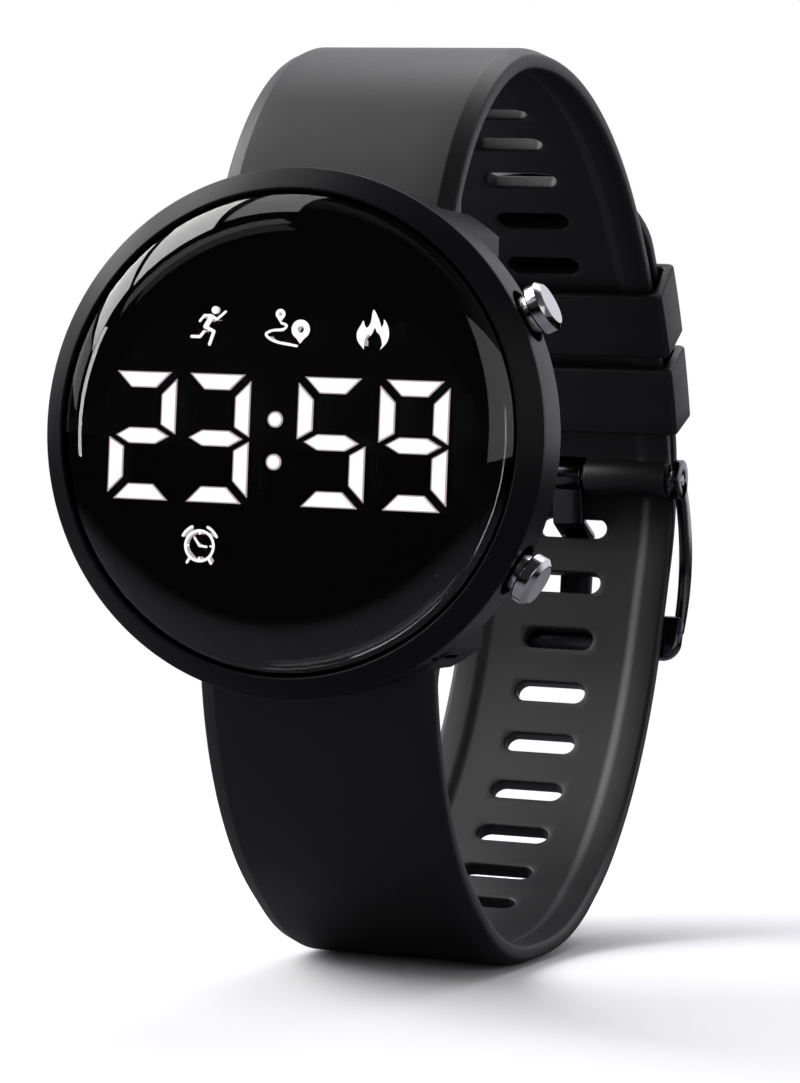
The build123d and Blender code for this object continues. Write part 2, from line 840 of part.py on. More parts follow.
def build_display_mask():
    """A smoked disc with a pocket for every light piece, closed by a thin web behind it."""
    front = mask_front_height
    mask = flat_ring(mask_radius, 0, front, -mask_ledge_depth)
    faces = digit_faces(True) + digit_faces(False) + colon_faces() + icon_faces()
    for face in faces:
        wide = offset(face, window_clearance, kind=Kind.INTERSECTION)
        mask -= extrude(dial * Pos(0, 0, front - light_depth) * wide, 2 * light_depth, dir=(0, -1, 0))
    return mask


def led_places():
    """Middles of the lamps behind the bars, dots and icons."""
    places = []
    for centre in digit_centres:
        for face in digit_strokes(centre).values():
            middle = face.center()
            tall = face.bounding_box().size.Y > face.bounding_box().size.X
            places.append((middle.X, middle.Y, 90 if tall else 0))
    places += [(colon_across, height, 0) for height in colon_heights]
    places += [(x, y, 0) for x, y in icon_centres]
    places.append((alarm_centre[0], alarm_centre[1], 0))
    return places


def build_leds():
    solids = []
    for x, y, angle in led_places():
        height = led_height / 2 - led_board_depth
        solids.append(dial * Pos(x, y, height) * Rot(0, 0, angle) * Box(led_length, led_width, led_height))
    return Compound(children=solids)


def pusher_notches(top, bottom):
    """Clear space in the boards and the frame round each pusher's inner end."""
    cutters = []
    for sign in (1, -1):
        block = Pos(notch_start + case_radius / 2, 0, (top + bottom) / 2) * Box(
            case_radius, 2 * notch_half_width, top - bottom
        )
        cutters.append(dial * Rot(0, 0, sign * pusher_degrees) * block)
    return cutters


def build_led_board():
    board = flat_ring(led_board_radius, 0, -led_board_depth, -led_board_depth - board_thickness)
    for cutter in pusher_notches(0, -main_board_depth):
        board -= cutter
    return board


# Electronics, frame, battery


def build_module_frame():
    board_back = -led_board_depth - board_thickness
    frame = ring_profile([
        (frame_ledge_radius, board_back),
        (frame_flange_radius, board_back),
        (frame_flange_radius, -front_cavity_depth),
        (frame_skirt_radius, -front_cavity_depth),
        (frame_skirt_radius, -mid_cavity_depth),
        (frame_bore_radius, -mid_cavity_depth),
        (frame_bore_radius, -main_board_depth),
        (frame_ledge_radius, -main_board_depth),
    ])
    for cutter in pusher_notches(0, -main_board_depth):
        frame -= cutter
    return frame


def build_main_board():
    return flat_ring(main_board_radius, 0, -main_board_depth, -main_board_depth - board_thickness)


def on_main_board(place_shares, length, width, tall):
    """A component on the front face of the main board, its place given as shares of the radius."""
    across = main_board_radius * place_shares[0]
    rise = main_board_radius * place_shares[1]
    return dial_block(across, rise, tall / 2 - main_board_depth, length, width, tall)


def build_controller_chip():
    return on_main_board(chip_place_shares, chip_side, chip_side, chip_height)


def build_crystal_can():
    can = on_main_board(crystal_place_shares, crystal_length, crystal_width, crystal_height)
    return fillet(can.edges().filter_by(Axis.Y), crystal_width / 4)


def build_motion_sensor():
    return on_main_board(sensor_place_shares, sensor_length, sensor_width, chip_height)


def board_back_height():
    return -main_board_depth - board_thickness


def build_battery_contact():
    """A round spring pad between the main board and the cell's smaller cap."""
    return flat_ring(pad_radius, 0, board_back_height(), board_back_height() - pad_height)


def build_battery_cell():
    front = board_back_height() - pad_height
    back = front - cell_height
    can = ring_profile([
        (0, front),
        (cell_cap_radius, front),
        (cell_cap_radius, front - cell_cap_height),
        (cell_radius, front - cell_cap_height),
        (cell_radius, back),
        (0, back),
    ])
    return can


def build_battery_clip():
    """A bent strip from the board round the cell's back."""
    front = board_back_height()
    back = front - pad_height - cell_height
    reach = cell_radius + clip_gap
    outer = reach + clip_thickness
    bridge = dial_block(0, 0, back - clip_thickness / 2, 2 * outer, clip_width, clip_thickness)
    clip = bridge
    tall = front - back + clip_thickness
    for side in (-1, 1):
        leg = dial_block(
            side * (reach + clip_thickness / 2), 0, front - tall / 2, clip_thickness, clip_width, tall
        )
        clip += leg
    return clip


def build_sounder_disc():
    """A thin metal disc with a smaller ceramic on it, on the inside of the case back."""
    seat = -case_depth
    disc = flat_ring(sounder_radius, 0, seat + sounder_thickness / 2, seat)
    return disc + flat_ring(sounder_crystal_radius, 0, seat + sounder_thickness, seat)


def back_outline():
    """The case back's round plate with flats towards the strap."""
    return Circle(back_plate_radius) & Rectangle(3 * back_plate_radius, 2 * back_half_height)


def build_case_back():
    plate = extrude(Pos(0, 0, -case_depth - back_thickness) * back_outline(), back_thickness)
    outer_edges = plate.faces().sort_by(Axis.Z)[0].edges()
    plate = chamfer(outer_edges, back_chamfer)
    back = dial * plate
    rear_face = -case_depth - back_thickness
    rim = flat_ring(back_rim_radius, 0, rear_face + back_rim_depth, rear_face)
    rim_inner = back_rim_radius - 2 * back_rim_depth
    rim -= flat_ring(rim_inner, 0, 0, rear_face - back_rim_depth)
    back -= rim
    for place in screw_places():
        back -= place * Cylinder(screw_shank_radius + running_clearance, 4 * back_thickness)
        back -= place * Pos(0, 0, back_thickness - screw_head_height / 2) * Cylinder(
            screw_head_radius + running_clearance, screw_head_height
        )
    return back


def screw_places():
    """Locations on the case's rear face, z pointing out of the back."""
    places = []
    circle_radius = back_plate_radius - screw_edge_inset
    angle = math.radians(screw_degrees)
    for x in (-1, 1):
        for y in (-1, 1):
            across = x * circle_radius * math.cos(angle)
            rise = y * circle_radius * math.sin(angle)
            origin = dial.from_local_coords((across, rise, -case_depth))
            places.append(Plane(origin=origin, x_dir=(1, 0, 0), z_dir=(0, 1, 0)))
    return places


def build_case_back_gasket():
    inner = rear_cavity_radius + window_clearance
    return flat_ring(inner + gasket_section, inner, gasket_section - case_depth, -case_depth)


def build_case_back_screws():
    solids = []
    for place in screw_places():
        head_middle = back_thickness - screw_head_height / 2
        head = Pos(0, 0, head_middle) * Cylinder(screw_head_radius, screw_head_height)
        shank_length = screw_length + back_thickness - screw_head_height
        shank = Pos(0, 0, back_thickness - screw_head_height - shank_length / 2) * Cylinder(
            screw_shank_radius, shank_length
        )
        slot = Pos(0, 0, back_thickness - screw_slot_depth / 2) * Box(
            3 * screw_head_radius, screw_slot_width, screw_slot_depth
        )
        solids.append(place * (head + shank - slot))
    return Compound(children=solids)


# Pushers


def pusher_profile(points):
    """A turned part about the local z of a pusher plane from radius and distance."""
    face = make_face(Polyline(*[(radius, 0, reach) for radius, reach in points], close=True))
    return revolve(face, Axis.Z)


def build_pusher(plane):
    head_base = pusher_reach - pusher_head_length
    neck_base = head_base - pusher_neck_length
    clip_top = pusher_clip_at + pusher_clip_thickness / 2
    clip_bottom = pusher_clip_at - pusher_clip_thickness / 2
    groove = pusher_shaft_radius - pusher_clip_groove
    return plane * pusher_profile([
        (0, pusher_end),
        (pusher_shaft_radius, pusher_end),
        (pusher_shaft_radius, clip_bottom),
        (groove, clip_bottom),
        (groove, clip_top),
        (pusher_shaft_radius, clip_top),
        (pusher_shaft_radius, neck_base),
        (pusher_neck_radius, neck_base),
        (pusher_neck_radius, head_base),
        (pusher_head_radius, head_base),
        (pusher_head_radius, pusher_reach - pusher_head_bevel),
        (pusher_head_radius - pusher_head_bevel, pusher_reach),
        (0, pusher_reach),
    ])


def build_pusher_spring(plane):
    neck_base = pusher_reach - pusher_head_length - pusher_neck_length
    base = plane.offset(pocket_floor)
    return coil(base, pusher_spring_radius, pusher_spring_wire, 3, neck_base - pocket_floor)


def build_pusher_seal(plane):
    half = pusher_seal_section / 2
    inner = pusher_shaft_radius + running_clearance
    outer = pusher_shaft_radius + pusher_seal_section
    points = [
        (inner, pusher_seal_at - half),
        (outer, pusher_seal_at - half),
        (outer, pusher_seal_at + half),
        (inner, pusher_seal_at + half),
    ]
    return plane * pusher_profile(points)


def build_pusher_clip(plane):
    inner = pusher_shaft_radius - pusher_clip_groove
    ring = Circle(pusher_clip_radius) - Circle(inner)
    mouth = Pos(pusher_clip_radius, 0) * Rectangle(2 * pusher_clip_radius, 2 * inner * clip_mouth_share)
    base = plane.offset(pusher_clip_at - pusher_clip_thickness / 2)
    return base * extrude(ring - mouth, pusher_clip_thickness)


def build_switch_contact(sign):
    """A bent leaf on the main board, its upright in front of the pusher's end."""
    face_at = pusher_end - switch_gap
    height = -pusher_depth + pusher_shaft_radius
    foot_height = -main_board_depth
    upright = Pos(face_at - switch_thickness / 2, 0, (height + foot_height) / 2) * Box(
        switch_thickness, switch_width, height - foot_height
    )
    foot = Pos(face_at - switch_foot_length / 2, 0, foot_height + switch_thickness / 2) * Box(
        switch_foot_length, switch_width, switch_thickness
    )
    return dial * Rot(0, 0, sign * pusher_degrees) * (upright + foot)


# Bars and buckle


def build_lug_bar(bar):
    body = cross_rod(bar, lug_bar_radius, lug_inner - bar_fit)
    return body + cross_rod(bar, lug_pin_radius, lug_inner + lug_pin_reach)


def build_buckle_bar():
    return cross_rod(buckle_bar, buckle_bar_radius, frame_arm_outer - bar_fit)


def along_back(angle, radius):
    """A point of the side view at an angle and a radius about the back arc's centre."""
    return ahead(back_centre, angle, radius)


def long_outer_point(distance, outward):
    """A point of the side view off the long strap's outer surface at a distance along it."""
    path = long_path()
    place = path.position_at(distance, position_mode=PositionMode.LENGTH)
    along = path.tangent_at(distance, position_mode=PositionMode.LENGTH)
    return (place.Y + along.Z * outward, place.Z - along.Y * outward)


def frame_bar_ends():
    """Inner and outer corners of the buckle's cross bar in the side view, top first."""
    middle = tongue_slot_distance(long_path()) - frame_bar_from_slot
    low = middle - frame_bar_height / 2
    high = middle + frame_bar_height / 2
    near = frame_bar_clearance
    far = frame_bar_clearance + frame_bar_thickness
    return [
        long_outer_point(high, near),
        long_outer_point(high, far),
        long_outer_point(low, far),
        long_outer_point(low, near),
    ]


def side_prism(points, low, high):
    """A prism between two distances across, from a side view outline."""
    face = make_face(Polyline(*[(y, z) for y, z in points], close=True))
    return extrude(side_plane(low) * face, high - low, dir=(1, 0, 0))


def build_buckle_frame():
    """Two bowed arms on the bar and a flat cross bar outside the strap."""
    high_near, high_far, low_far, low_near = frame_bar_ends()
    cross = side_prism([high_near, high_far, low_far, low_near], -frame_arm_outer, frame_arm_outer)
    cross = fillet(cross.edges().filter_by(Axis.X), frame_edge_round)
    frame = cross
    knee = (
        buckle_bar[0] + (high_far[0] - buckle_bar[0]) * frame_knee_share + frame_bow,
        buckle_bar[1] + (high_far[1] - buckle_bar[1]) * frame_knee_share,
    )
    half = frame_arm_depth / 2
    arm = side_prism(
        [
            (buckle_bar[0] + half, buckle_bar[1]),
            (knee[0] + half, knee[1]),
            high_far,
            low_far,
            high_near,
            (knee[0] - half, knee[1]),
            (buckle_bar[0] - half, buckle_bar[1]),
        ],
        frame_arm_inner,
        frame_arm_outer,
    )
    eye = Plane(origin=(frame_arm_inner, buckle_bar[0], buckle_bar[1]), z_dir=(1, 0, 0))
    width = frame_arm_outer - frame_arm_inner
    arm += eye * Pos(0, 0, width / 2) * Cylinder(frame_eye_radius, width)
    frame += arm
    frame += mirror(arm, Plane.YZ)
    frame -= cross_rod(buckle_bar, buckle_bar_radius + bar_fit, strap_width)
    return frame


def tongue_crossing(height, side):
    """Distance from the slot's middle to an edge of the tongue's steep part at a height."""
    steep = math.radians(tongue_degrees)
    lean = (height + strap_thickness / 2) / math.tan(steep)
    return side * tongue_thickness / (2 * math.sin(steep)) - lean


def build_buckle_tongue():
    """A bent pin from the bar, through the strap's slot, onto the outside of the cross bar."""
    slot_at = tongue_slot_distance(long_path())
    bar_near = -frame_bar_from_slot + frame_bar_height / 2
    bar_far = -frame_bar_from_slot - frame_bar_height / 2
    rest = frame_bar_clearance + frame_bar_thickness + tongue_tip_rise
    inside = -strap_thickness - tongue_skin_gap
    barrel_height = -strap_thickness - layer_gap - buckle_knuckle_radius
    start_low = barrel_height - tongue_thickness / 2
    start_high = barrel_height + tongue_thickness
    bend_low = tongue_skin_gap
    edge = [
        (tongue_slot_from_bar, start_low),
        (tongue_crossing(inside - tongue_thickness, -1), inside - tongue_thickness),
        (tongue_crossing(bend_low, -1), bend_low),
        (bar_near + tongue_thickness / 2, rest),
        (bar_far + tongue_thickness / 2, rest),
        (bar_far, rest + tongue_thickness / 2),
        (bar_far + tongue_thickness / 2, rest + tongue_thickness),
        (bar_near + tongue_thickness / 2, rest + tongue_thickness),
        (tongue_crossing(bend_low + tongue_thickness, 1), bend_low + tongue_thickness),
        (tongue_crossing(inside, 1), inside),
        (tongue_slot_from_bar - tongue_thickness, start_high),
    ]
    outline = [long_outer_point(slot_at + along, height) for along, height in edge]
    half = tongue_width / 2
    tongue = side_prism(outline, -half, half)
    tongue += cross_rod(buckle_bar, tongue_barrel_radius, half)
    return tongue - cross_rod(buckle_bar, buckle_bar_radius + bar_fit, strap_width)


def write_all():
    os.makedirs("parts", exist_ok=True)
    upper, lower = pusher_planes()
    pieces = {
        "case_body": build_case_body(),
        "bezel_ring": build_bezel_ring(),
        "lens": build_lens(),
        "lens_gasket": build_lens_gasket(),
        "display_mask": build_display_mask(),
        "lit_segments": light_prisms(digit_faces(True)),
        "dark_segments": light_prisms(digit_faces(False)),
        "colon_dots": light_prisms(colon_faces()),
        "display_icons": light_prisms(icon_faces()),
        "leds": build_leds(),
        "led_board": build_led_board(),
        "module_frame": build_module_frame(),
        "main_board": build_main_board(),
        "controller_chip": build_controller_chip(),
        "crystal_can": build_crystal_can(),
        "motion_sensor": build_motion_sensor(),
        "battery_contact": build_battery_contact(),
        "battery_cell": build_battery_cell(),
        "battery_clip": build_battery_clip(),
        "sounder_disc": build_sounder_disc(),
        "case_back": build_case_back(),
        "case_back_gasket": build_case_back_gasket(),
        "case_back_screws": build_case_back_screws(),
        "upper_pusher": build_pusher(upper),
        "lower_pusher": build_pusher(lower),
        "upper_pusher_spring": build_pusher_spring(upper),
        "lower_pusher_spring": build_pusher_spring(lower),
        "upper_pusher_seal": build_pusher_seal(upper),
        "lower_pusher_seal": build_pusher_seal(lower),
        "upper_pusher_clip": build_pusher_clip(upper),
        "lower_pusher_clip": build_pusher_clip(lower),
        "upper_switch_contact": build_switch_contact(1),
        "lower_switch_contact": build_switch_contact(-1),
        "upper_lug_bar": build_lug_bar(upper_bar),
        "lower_lug_bar": build_lug_bar(lower_bar),
        "strap_short": build_strap_short(),
        "strap_long": build_strap_long(),
        "upper_keeper": build_keeper(upper_keeper_degrees),
        "lower_keeper": build_keeper(lower_keeper_degrees),
        "buckle_bar": build_buckle_bar(),
        "buckle_frame": build_buckle_frame(),
        "buckle_tongue": build_buckle_tongue(),
    }
    for name, shape in pieces.items():
        shape.label = name
        export_step(shape, f"parts/{name}.step")


if __name__ == "__main__":
    write_all()
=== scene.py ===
"""The looks of a round digital watch on its closed silicone strap, built round the packed part."""
import math

import bmesh
import bpy
from bpy.props import FloatProperty, FloatVectorProperty, IntProperty, PointerProperty, StringProperty
from mathutils import Matrix, Vector


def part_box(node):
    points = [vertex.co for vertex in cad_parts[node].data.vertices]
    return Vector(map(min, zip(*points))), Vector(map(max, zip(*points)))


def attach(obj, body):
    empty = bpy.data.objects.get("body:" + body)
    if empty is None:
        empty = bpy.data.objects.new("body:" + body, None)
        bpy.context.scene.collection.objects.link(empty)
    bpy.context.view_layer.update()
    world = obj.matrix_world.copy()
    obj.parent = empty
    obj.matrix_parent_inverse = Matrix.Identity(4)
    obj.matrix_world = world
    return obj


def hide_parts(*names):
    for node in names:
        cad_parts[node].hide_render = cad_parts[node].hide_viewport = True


bl_info = {
    "name": "Round Digital Watch",
    "version": (1, 0, 0),
    "blender": (4, 5, 0),
    "location": "View3D > Sidebar > Watch",
    "description": "Dresses the packed watch: case, display, pushers, silicone strap and buckle",
    "category": "Object",
}

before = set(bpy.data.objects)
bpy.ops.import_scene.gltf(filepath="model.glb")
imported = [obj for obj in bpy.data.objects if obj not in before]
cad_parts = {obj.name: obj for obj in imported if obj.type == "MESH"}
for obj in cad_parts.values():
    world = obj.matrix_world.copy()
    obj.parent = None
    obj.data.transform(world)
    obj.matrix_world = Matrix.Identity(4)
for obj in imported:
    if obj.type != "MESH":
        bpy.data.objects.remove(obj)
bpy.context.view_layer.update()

MM = 0.001
SEAT_DEPTH = 0.2 * MM
OVERRUN = 10 * MM  # how far the cutters of the straps' ways reach past what they cut
WELD = 0.002 * MM  # points nearer than this are one
POLE = 1e-9  # a lathe's radius under this is a point
LUG_KNUCKLE = 2.0  # mm, the radius of a strap's end round a lug bar, which the case's pocket follows
LARGE_STEPS, MIDDLE_STEPS, SMALL_STEPS = 256, 96, 64  # sides of large, middling and small rounds

ring_low, ring_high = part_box("bezel_ring")
DIAL_Y = ring_high.y - SEAT_DEPTH
DIAL_Z = (ring_low.z + ring_high.z) / 2


def length(name, description, millimetres):
    """A length property whose default is given in millimetres."""
    return FloatProperty(
        name=name, description=description, default=millimetres * MM, unit="LENGTH", precision=5
    )


def turn(name, description, degrees):
    """An angle property whose default is given in degrees."""
    return FloatProperty(
        name=name, description=description, default=math.radians(degrees), subtype="ANGLE"
    )


def paint(name, description, code):
    """A colour written as an sRGB hex value."""
    return StringProperty(name=name, description=description, default=code)


class StrapSizes(bpy.types.PropertyGroup):
    """Sizes of the two silicone straps and of the loop that they are closed to."""

    width: length("Width", "Across the strap", 20.0)
    thickness: length("Thickness", "Through the strap's border", 1.8)
    bevel_width: length("Bevel width", "Of the strap's outer edges, across", 1.35)
    bevel_depth: length("Bevel depth", "Of the strap's outer edges, through", 0.58)
    bevel_softness: length("Bevel softness", "Rounding of both creases of a bevel", 0.4)
    lug_taper: length("Lug taper", "Along which the strap thickens to its lug knuckle", 4.5)
    buckle_taper: length("Buckle taper", "Along which it thickens to its buckle knuckle", 1.7)
    taper_from: length("Taper from", "Below the outer surface, where thickening begins", 1.2)
    taper_over: length("Taper over", "From there to where it is whole", 0.3)
    panel_drop: length("Panel drop", "How far the inner panel lies below its border", 0.3)
    knuckle: length("Lug knuckle", "Radius of the strap's end round a lug bar", LUG_KNUCKLE)
    buckle_knuckle: length("Buckle knuckle", "Radius of the strap's end round the buckle bar", 1.75)
    buckle_knuckle_edge: length("Buckle knuckle edge", "Rounding of that knuckle's ends", 0.35)
    tongue_notch: length("Tongue notch", "Width of the gap in that knuckle", 3.7)
    notch_gap: length("Notch gap", "From the knuckle to the end of its gap", 0.1)
    flat: length("Front flat", "From the toe bend to the middle of the watch's stand", 6.1)
    toe_radius: length("Toe bend", "Bend in front of the flat spot", 10.0)
    toe_turn: turn("Toe turn", "Turn of the toe bend", 28.0)
    shin_radius: length("Shin bend", "Bend above the toe", 66.8)
    shin_turn: turn("Shin turn", "Turn of the shin bend", 9.1)
    front_radius: length("Front bend", "Bend up to the lower lugs", 31.6)
    front_turn: turn("Front turn", "Turn of the front bend", 46.0)
    front_straight: length("Front straight", "Straight at the lower lugs", 1.1)
    heel_radius: length("Heel bend", "Bend behind the flat spot", 10.0)
    heel_turn: turn("Heel turn", "Turn of the heel bend", 18.0)
    softening: length("Softening", "How far the bends at the foot run into each other", 7.0)
    rear_turn: turn("Rear turn", "Turn of the rear bend", 54.5)
    rear_straight: length("Rear straight", "Straight before the swing bend", 8.19)
    swing_radius: length("Swing bend", "Bend with which the long strap swings outside the short one", 20.0)
    swing_turn: turn("Swing turn", "Turn of the swing bend", 38.95)
    crown_straight: length("Crown straight", "Straight at the upper lugs", 1.97)
    crown_heading: turn("Crown heading", "Slope at the upper lugs", 69.9)
    crown_radius: length("Crown bend", "Bend over the top", 23.4)
    crown_turn: turn("Crown turn", "Turn of the crown bend", 63.6)
    shoulder_radius: length("Shoulder bend", "Bend behind the top", 42.9)
    shoulder_turn: turn("Shoulder turn", "Turn of the shoulder bend", 46.5)
    back_radius: length("Back bend", "Bend down to the buckle", 53.9)
    back_turn: turn("Back turn", "Turn of the back bend", 32.6)
    layer_gap: length("Layer gap", "Between the two straps", 0.4)
    tip_turn: turn("Tip turn", "Turn of the long strap's free end", 30.9)
    slot_length: length("Slot length", "Across the strap", 6.8)
    slot_width: length("Slot width", "Along the strap", 2.0)
    slot_pitch: length("Slot pitch", "From slot to slot", 5.65)
    slot_edge: length("Slot edge", "Rounding of a slot's edge", 0.22)
    slot_spare: length("Slot spare", "How far a slot's flare stands off both faces", 0.01)
    slot_from_bar: length("Tongue slot", "From the buckle bar to the slot in use", 5.8)
    first_short_slot: length("First short slot", "From the upper lug bar", 47.85)
    slots_below: IntProperty(name="Slots below", description="Slots below the one in use", default=8)
    slots_above: IntProperty(name="Slots above", description="Slots above the one in use", default=3)
    short_slots: IntProperty(name="Short slots", description="Slots in the short strap", default=6)
    step: length("Step", "Length of one mesh step along the strap", 0.62)
    keeper_length: length("Keeper length", "Along the strap", 7.0)
    keeper_wall: length("Keeper wall", "Wall of a keeper over the straps", 0.75)
    keeper_side_wall: length("Keeper side wall", "Wall of a keeper beside the straps", 0.9)
    keeper_gap: length("Keeper gap", "From the straps to a keeper", 0.1)
    keeper_side_gap: length("Keeper side gap", "From the strap's edge to a keeper", 0.3)
    keeper_corner: length("Keeper corner", "Rounding of a keeper's corners", 0.6)
    keeper_edge: length("Keeper edge", "Rounding of a keeper's rims", 0.25)
    upper_keeper: turn("Upper keeper", "Its place on the back bend", 35.1)
    lower_keeper: turn("Lower keeper", "Its place on the back bend", 26.05)


class CaseSizes(bpy.types.PropertyGroup):
    """Sizes of the case, the bezel ring, the lens and the pushers."""

    radius: length("Radius", "Outside of the case and the bezel", 20.7)
    barrel: length("Barrel", "Depth of the round wall", 4.3)
    bowl: length("Bowl", "Radius at the back", 17.4)
    depth: length("Depth", "To the rear face", 9.4)
    lug_inner: length("Lug inside", "Half the gap between lugs", 10.25)
    lug_outer: length("Lug outside", "Half the width over lugs", 12.8)
    lug_depth: length("Lug depth", "To the lugs' rear faces", 11.1)
    bar_depth: length("Bar depth", "Of the lug bars", 8.7)
    bar_height: length("Bar height", "Of the lug bars from the dial's middle", 15.25)
    pocket: length("Strap pocket", "Clearance round a strap's knuckle", 0.35)
    ring_inner: length("Ring inside", "Inner radius of the bezel ring", 18.9)
    ring_rise: length("Ring rise", "Of the bezel's inner edge over its outer one", 1.4)
    ring_seat: length("Ring seat", "Radius of the recess for the lens's flange", 19.28)
    ring_step: length("Ring step", "Height of that recess", 0.78)
    ring_edge: length("Ring edge", "Rounding of the bezel's edges", 0.16)
    lens_flange: length("Lens flange", "Radius of the lens's flange", 19.25)
    flange_height: length("Flange height", "Thickness of that flange", 0.4)
    lens_radius: length("Lens radius", "Of the dome", 18.8)
    lens_apex: length("Lens apex", "Height of the dome", 3.2)
    lens_edge: length("Lens edge", "Height of the dome's side", 0.95)
    lens_shoulder: length("Lens shoulder", "Width of the dome's rounded shoulder", 4.2)
    lens_crown: length("Lens crown", "Height at the shoulder's inner end", 2.6)
    lens_slope: turn("Lens slope", "Of the shoulder at the lens's edge", 50.0)
    lens_back: length("Lens back", "Height of its flat rear face", 0.3)
    pusher_angle: turn("Pusher angle", "From three o'clock", 28.3)
    pusher_depth: length("Pusher depth", "Behind the bezel's edge", 2.55)
    pusher_reach: length("Pusher reach", "Its outer face from the dial's middle", 22.75)
    pusher_head: length("Pusher head", "Its radius", 2.05)
    pusher_neck: length("Pusher neck", "Its radius", 1.55)
    pusher_shaft: length("Pusher shaft", "Its radius", 0.75)
    head_height: length("Head height", "Of a pusher", 1.35)
    head_foot: length("Head foot", "Bevel at the head's inner edge", 0.1)
    head_facet: length("Head facet", "Height of the bevel at the head's outer edge", 0.4)
    head_face: length("Head face", "From the head's edge to its flat face", 0.55)
    head_swell: length("Head swell", "Of the face between its flat and the bevel", 0.02)
    head_edge: length("Head edge", "Rounding of the head's corners", 0.1)
    neck_height: length("Neck height", "Of a pusher", 1.2)
    groove: length("Clip groove", "Its middle from the dial's middle", 17.0)
    groove_width: length("Groove width", "Of the clip groove", 0.25)
    groove_radius: length("Groove radius", "At the groove's floor", 0.55)
    pusher_end: length("Pusher end", "Its inner end from the dial's middle", 15.9)
    pusher_pocket: length("Pusher pocket", "Its radius", 2.2)
    pocket_floor: length("Pocket floor", "From the dial's middle", 18.85)


class DisplaySizes(bpy.types.PropertyGroup):
    """Sizes of the digits and pictograms."""

    digit_height: length("Digit height", "Over all", 10.0)
    digit_width: length("Digit width", "Over all", 5.6)
    stroke: length("Stroke", "Width of a bar", 1.25)
    mitre: length("Mitre", "From a digit's corner to the end of a bar", 0.5)
    side_low: length("Side bar end", "Of a side bar's outer edge, from the middle", 0.18)
    side_slope: length("Side bar slope", "Height of a side bar's slant at the middle", 0.72)
    middle_inset: length("Middle bar inset", "From a digit's side to the middle bar's tip", 0.57)
    middle_tip: length("Middle bar tip", "Length of that tip", 1.13)
    rim: length("Rim", "Width of a bar's duller rims", 0.1)
    colon_radius: length("Colon radius", "Of a dot", 0.62)
    colon_rim: length("Colon rim", "Width of a dot's duller rims", 0.13)
    middle: length("Middle", "Height of the digits' middle", -0.56)
    face: length("Face", "Height of the bars' faces", 0.24)
    bar_depth: length("Bar depth", "Thickness of the light bars", 0.9)
    icon: length("Icon size", "Of a pictogram", 3.2)
    icon_line: length("Icon line", "Line width of a pictogram", 0.21)
    clock_radius: length("Clock radius", "Of the alarm clock", 1.18)


class BuckleSizes(bpy.types.PropertyGroup):
    """Sizes of the pin buckle."""

    arm_inner: length("Arm inside", "Half the gap between the arms", 10.6)
    arm_outer: length("Arm outside", "Half the width over the arms", 11.4)
    arm_depth: length("Arm depth", "Of an arm in the side view", 2.3)
    eye: length("Eye", "Radius of an arm's end round the bar", 1.9)
    cross_thickness: length("Cross bar", "Thickness of the cross bar", 1.6)
    cross_height: length("Cross bar height", "Along the strap", 4.3)
    cross_gap: length("Cross bar gap", "To the strap", 0.3)
    cross_from_slot: length("Cross bar place", "From the slot in use", 10.0)
    cross_corner: length("Cross bar corner", "Rounding of its lower corners", 1.8)
    cross_edge: length("Cross bar edge", "Rounding of its edges", 0.5)
    bow: length("Bow", "Of the arms", 2.6)
    arm_edge: length("Arm edge", "Rounding of the arms and their eyes", 0.14)
    eye_hole: length("Eye hole", "Radius of the dimple over the bar's end", 0.4)
    eye_hole_depth: length("Eye hole depth", "Of that dimple", 0.3)
    tongue_width: length("Tongue width", "Across", 3.0)
    tongue_thickness: length("Tongue thickness", "Through", 1.0)
    tongue_gap: length("Tongue gap", "To the strap", 0.35)
    tongue_rise: length("Tongue rise", "Over the cross bar", 0.15)
    tongue_barrel: length("Tongue barrel", "Radius round the bar", 1.45)
    tongue_bend: length("Tongue bend", "Rounding of the tongue's bends", 0.5)
    tongue_edge: length("Tongue edge", "Rounding of its edges", 0.16)
    barrel_edge: length("Barrel edge", "Rounding of the barrel's ends", 0.12)
    tongue_steepness: turn("Tongue steepness", "Slope through the slot", 75.0)


class Finishes(bpy.types.PropertyGroup):
    """Colours of the watch's finishes."""

    silicone: paint("Silicone", "Moulded silicone rubber", "#131315")
    case: paint("Case", "Moulded satin ABS", "#131316")
    lens: paint("Lens", "Clear acrylic", "#ffffff")
    mask: paint("Mask", "Black print behind the lens", "#020202")
    light: paint("Light", "Lit bars", "#fffafa")
    diffuser: paint("Diffuser", "Milky plastic of the lit bars", "#202020")
    light_edge: paint("Light edge", "Rim of a lit bar", "#a79ea4")
    pusher: paint("Pusher", "Polished dark chrome", "#c4c3c6")
    buckle: paint("Buckle", "Black plated steel", "#45454a")
    steel: paint("Steel", "Bars, screws and springs", "#b9b8b6")
    back: paint("Case back", "Brushed steel", "#a5a4a3")
    board: paint("Board", "Circuit board", "#1d4a2c")


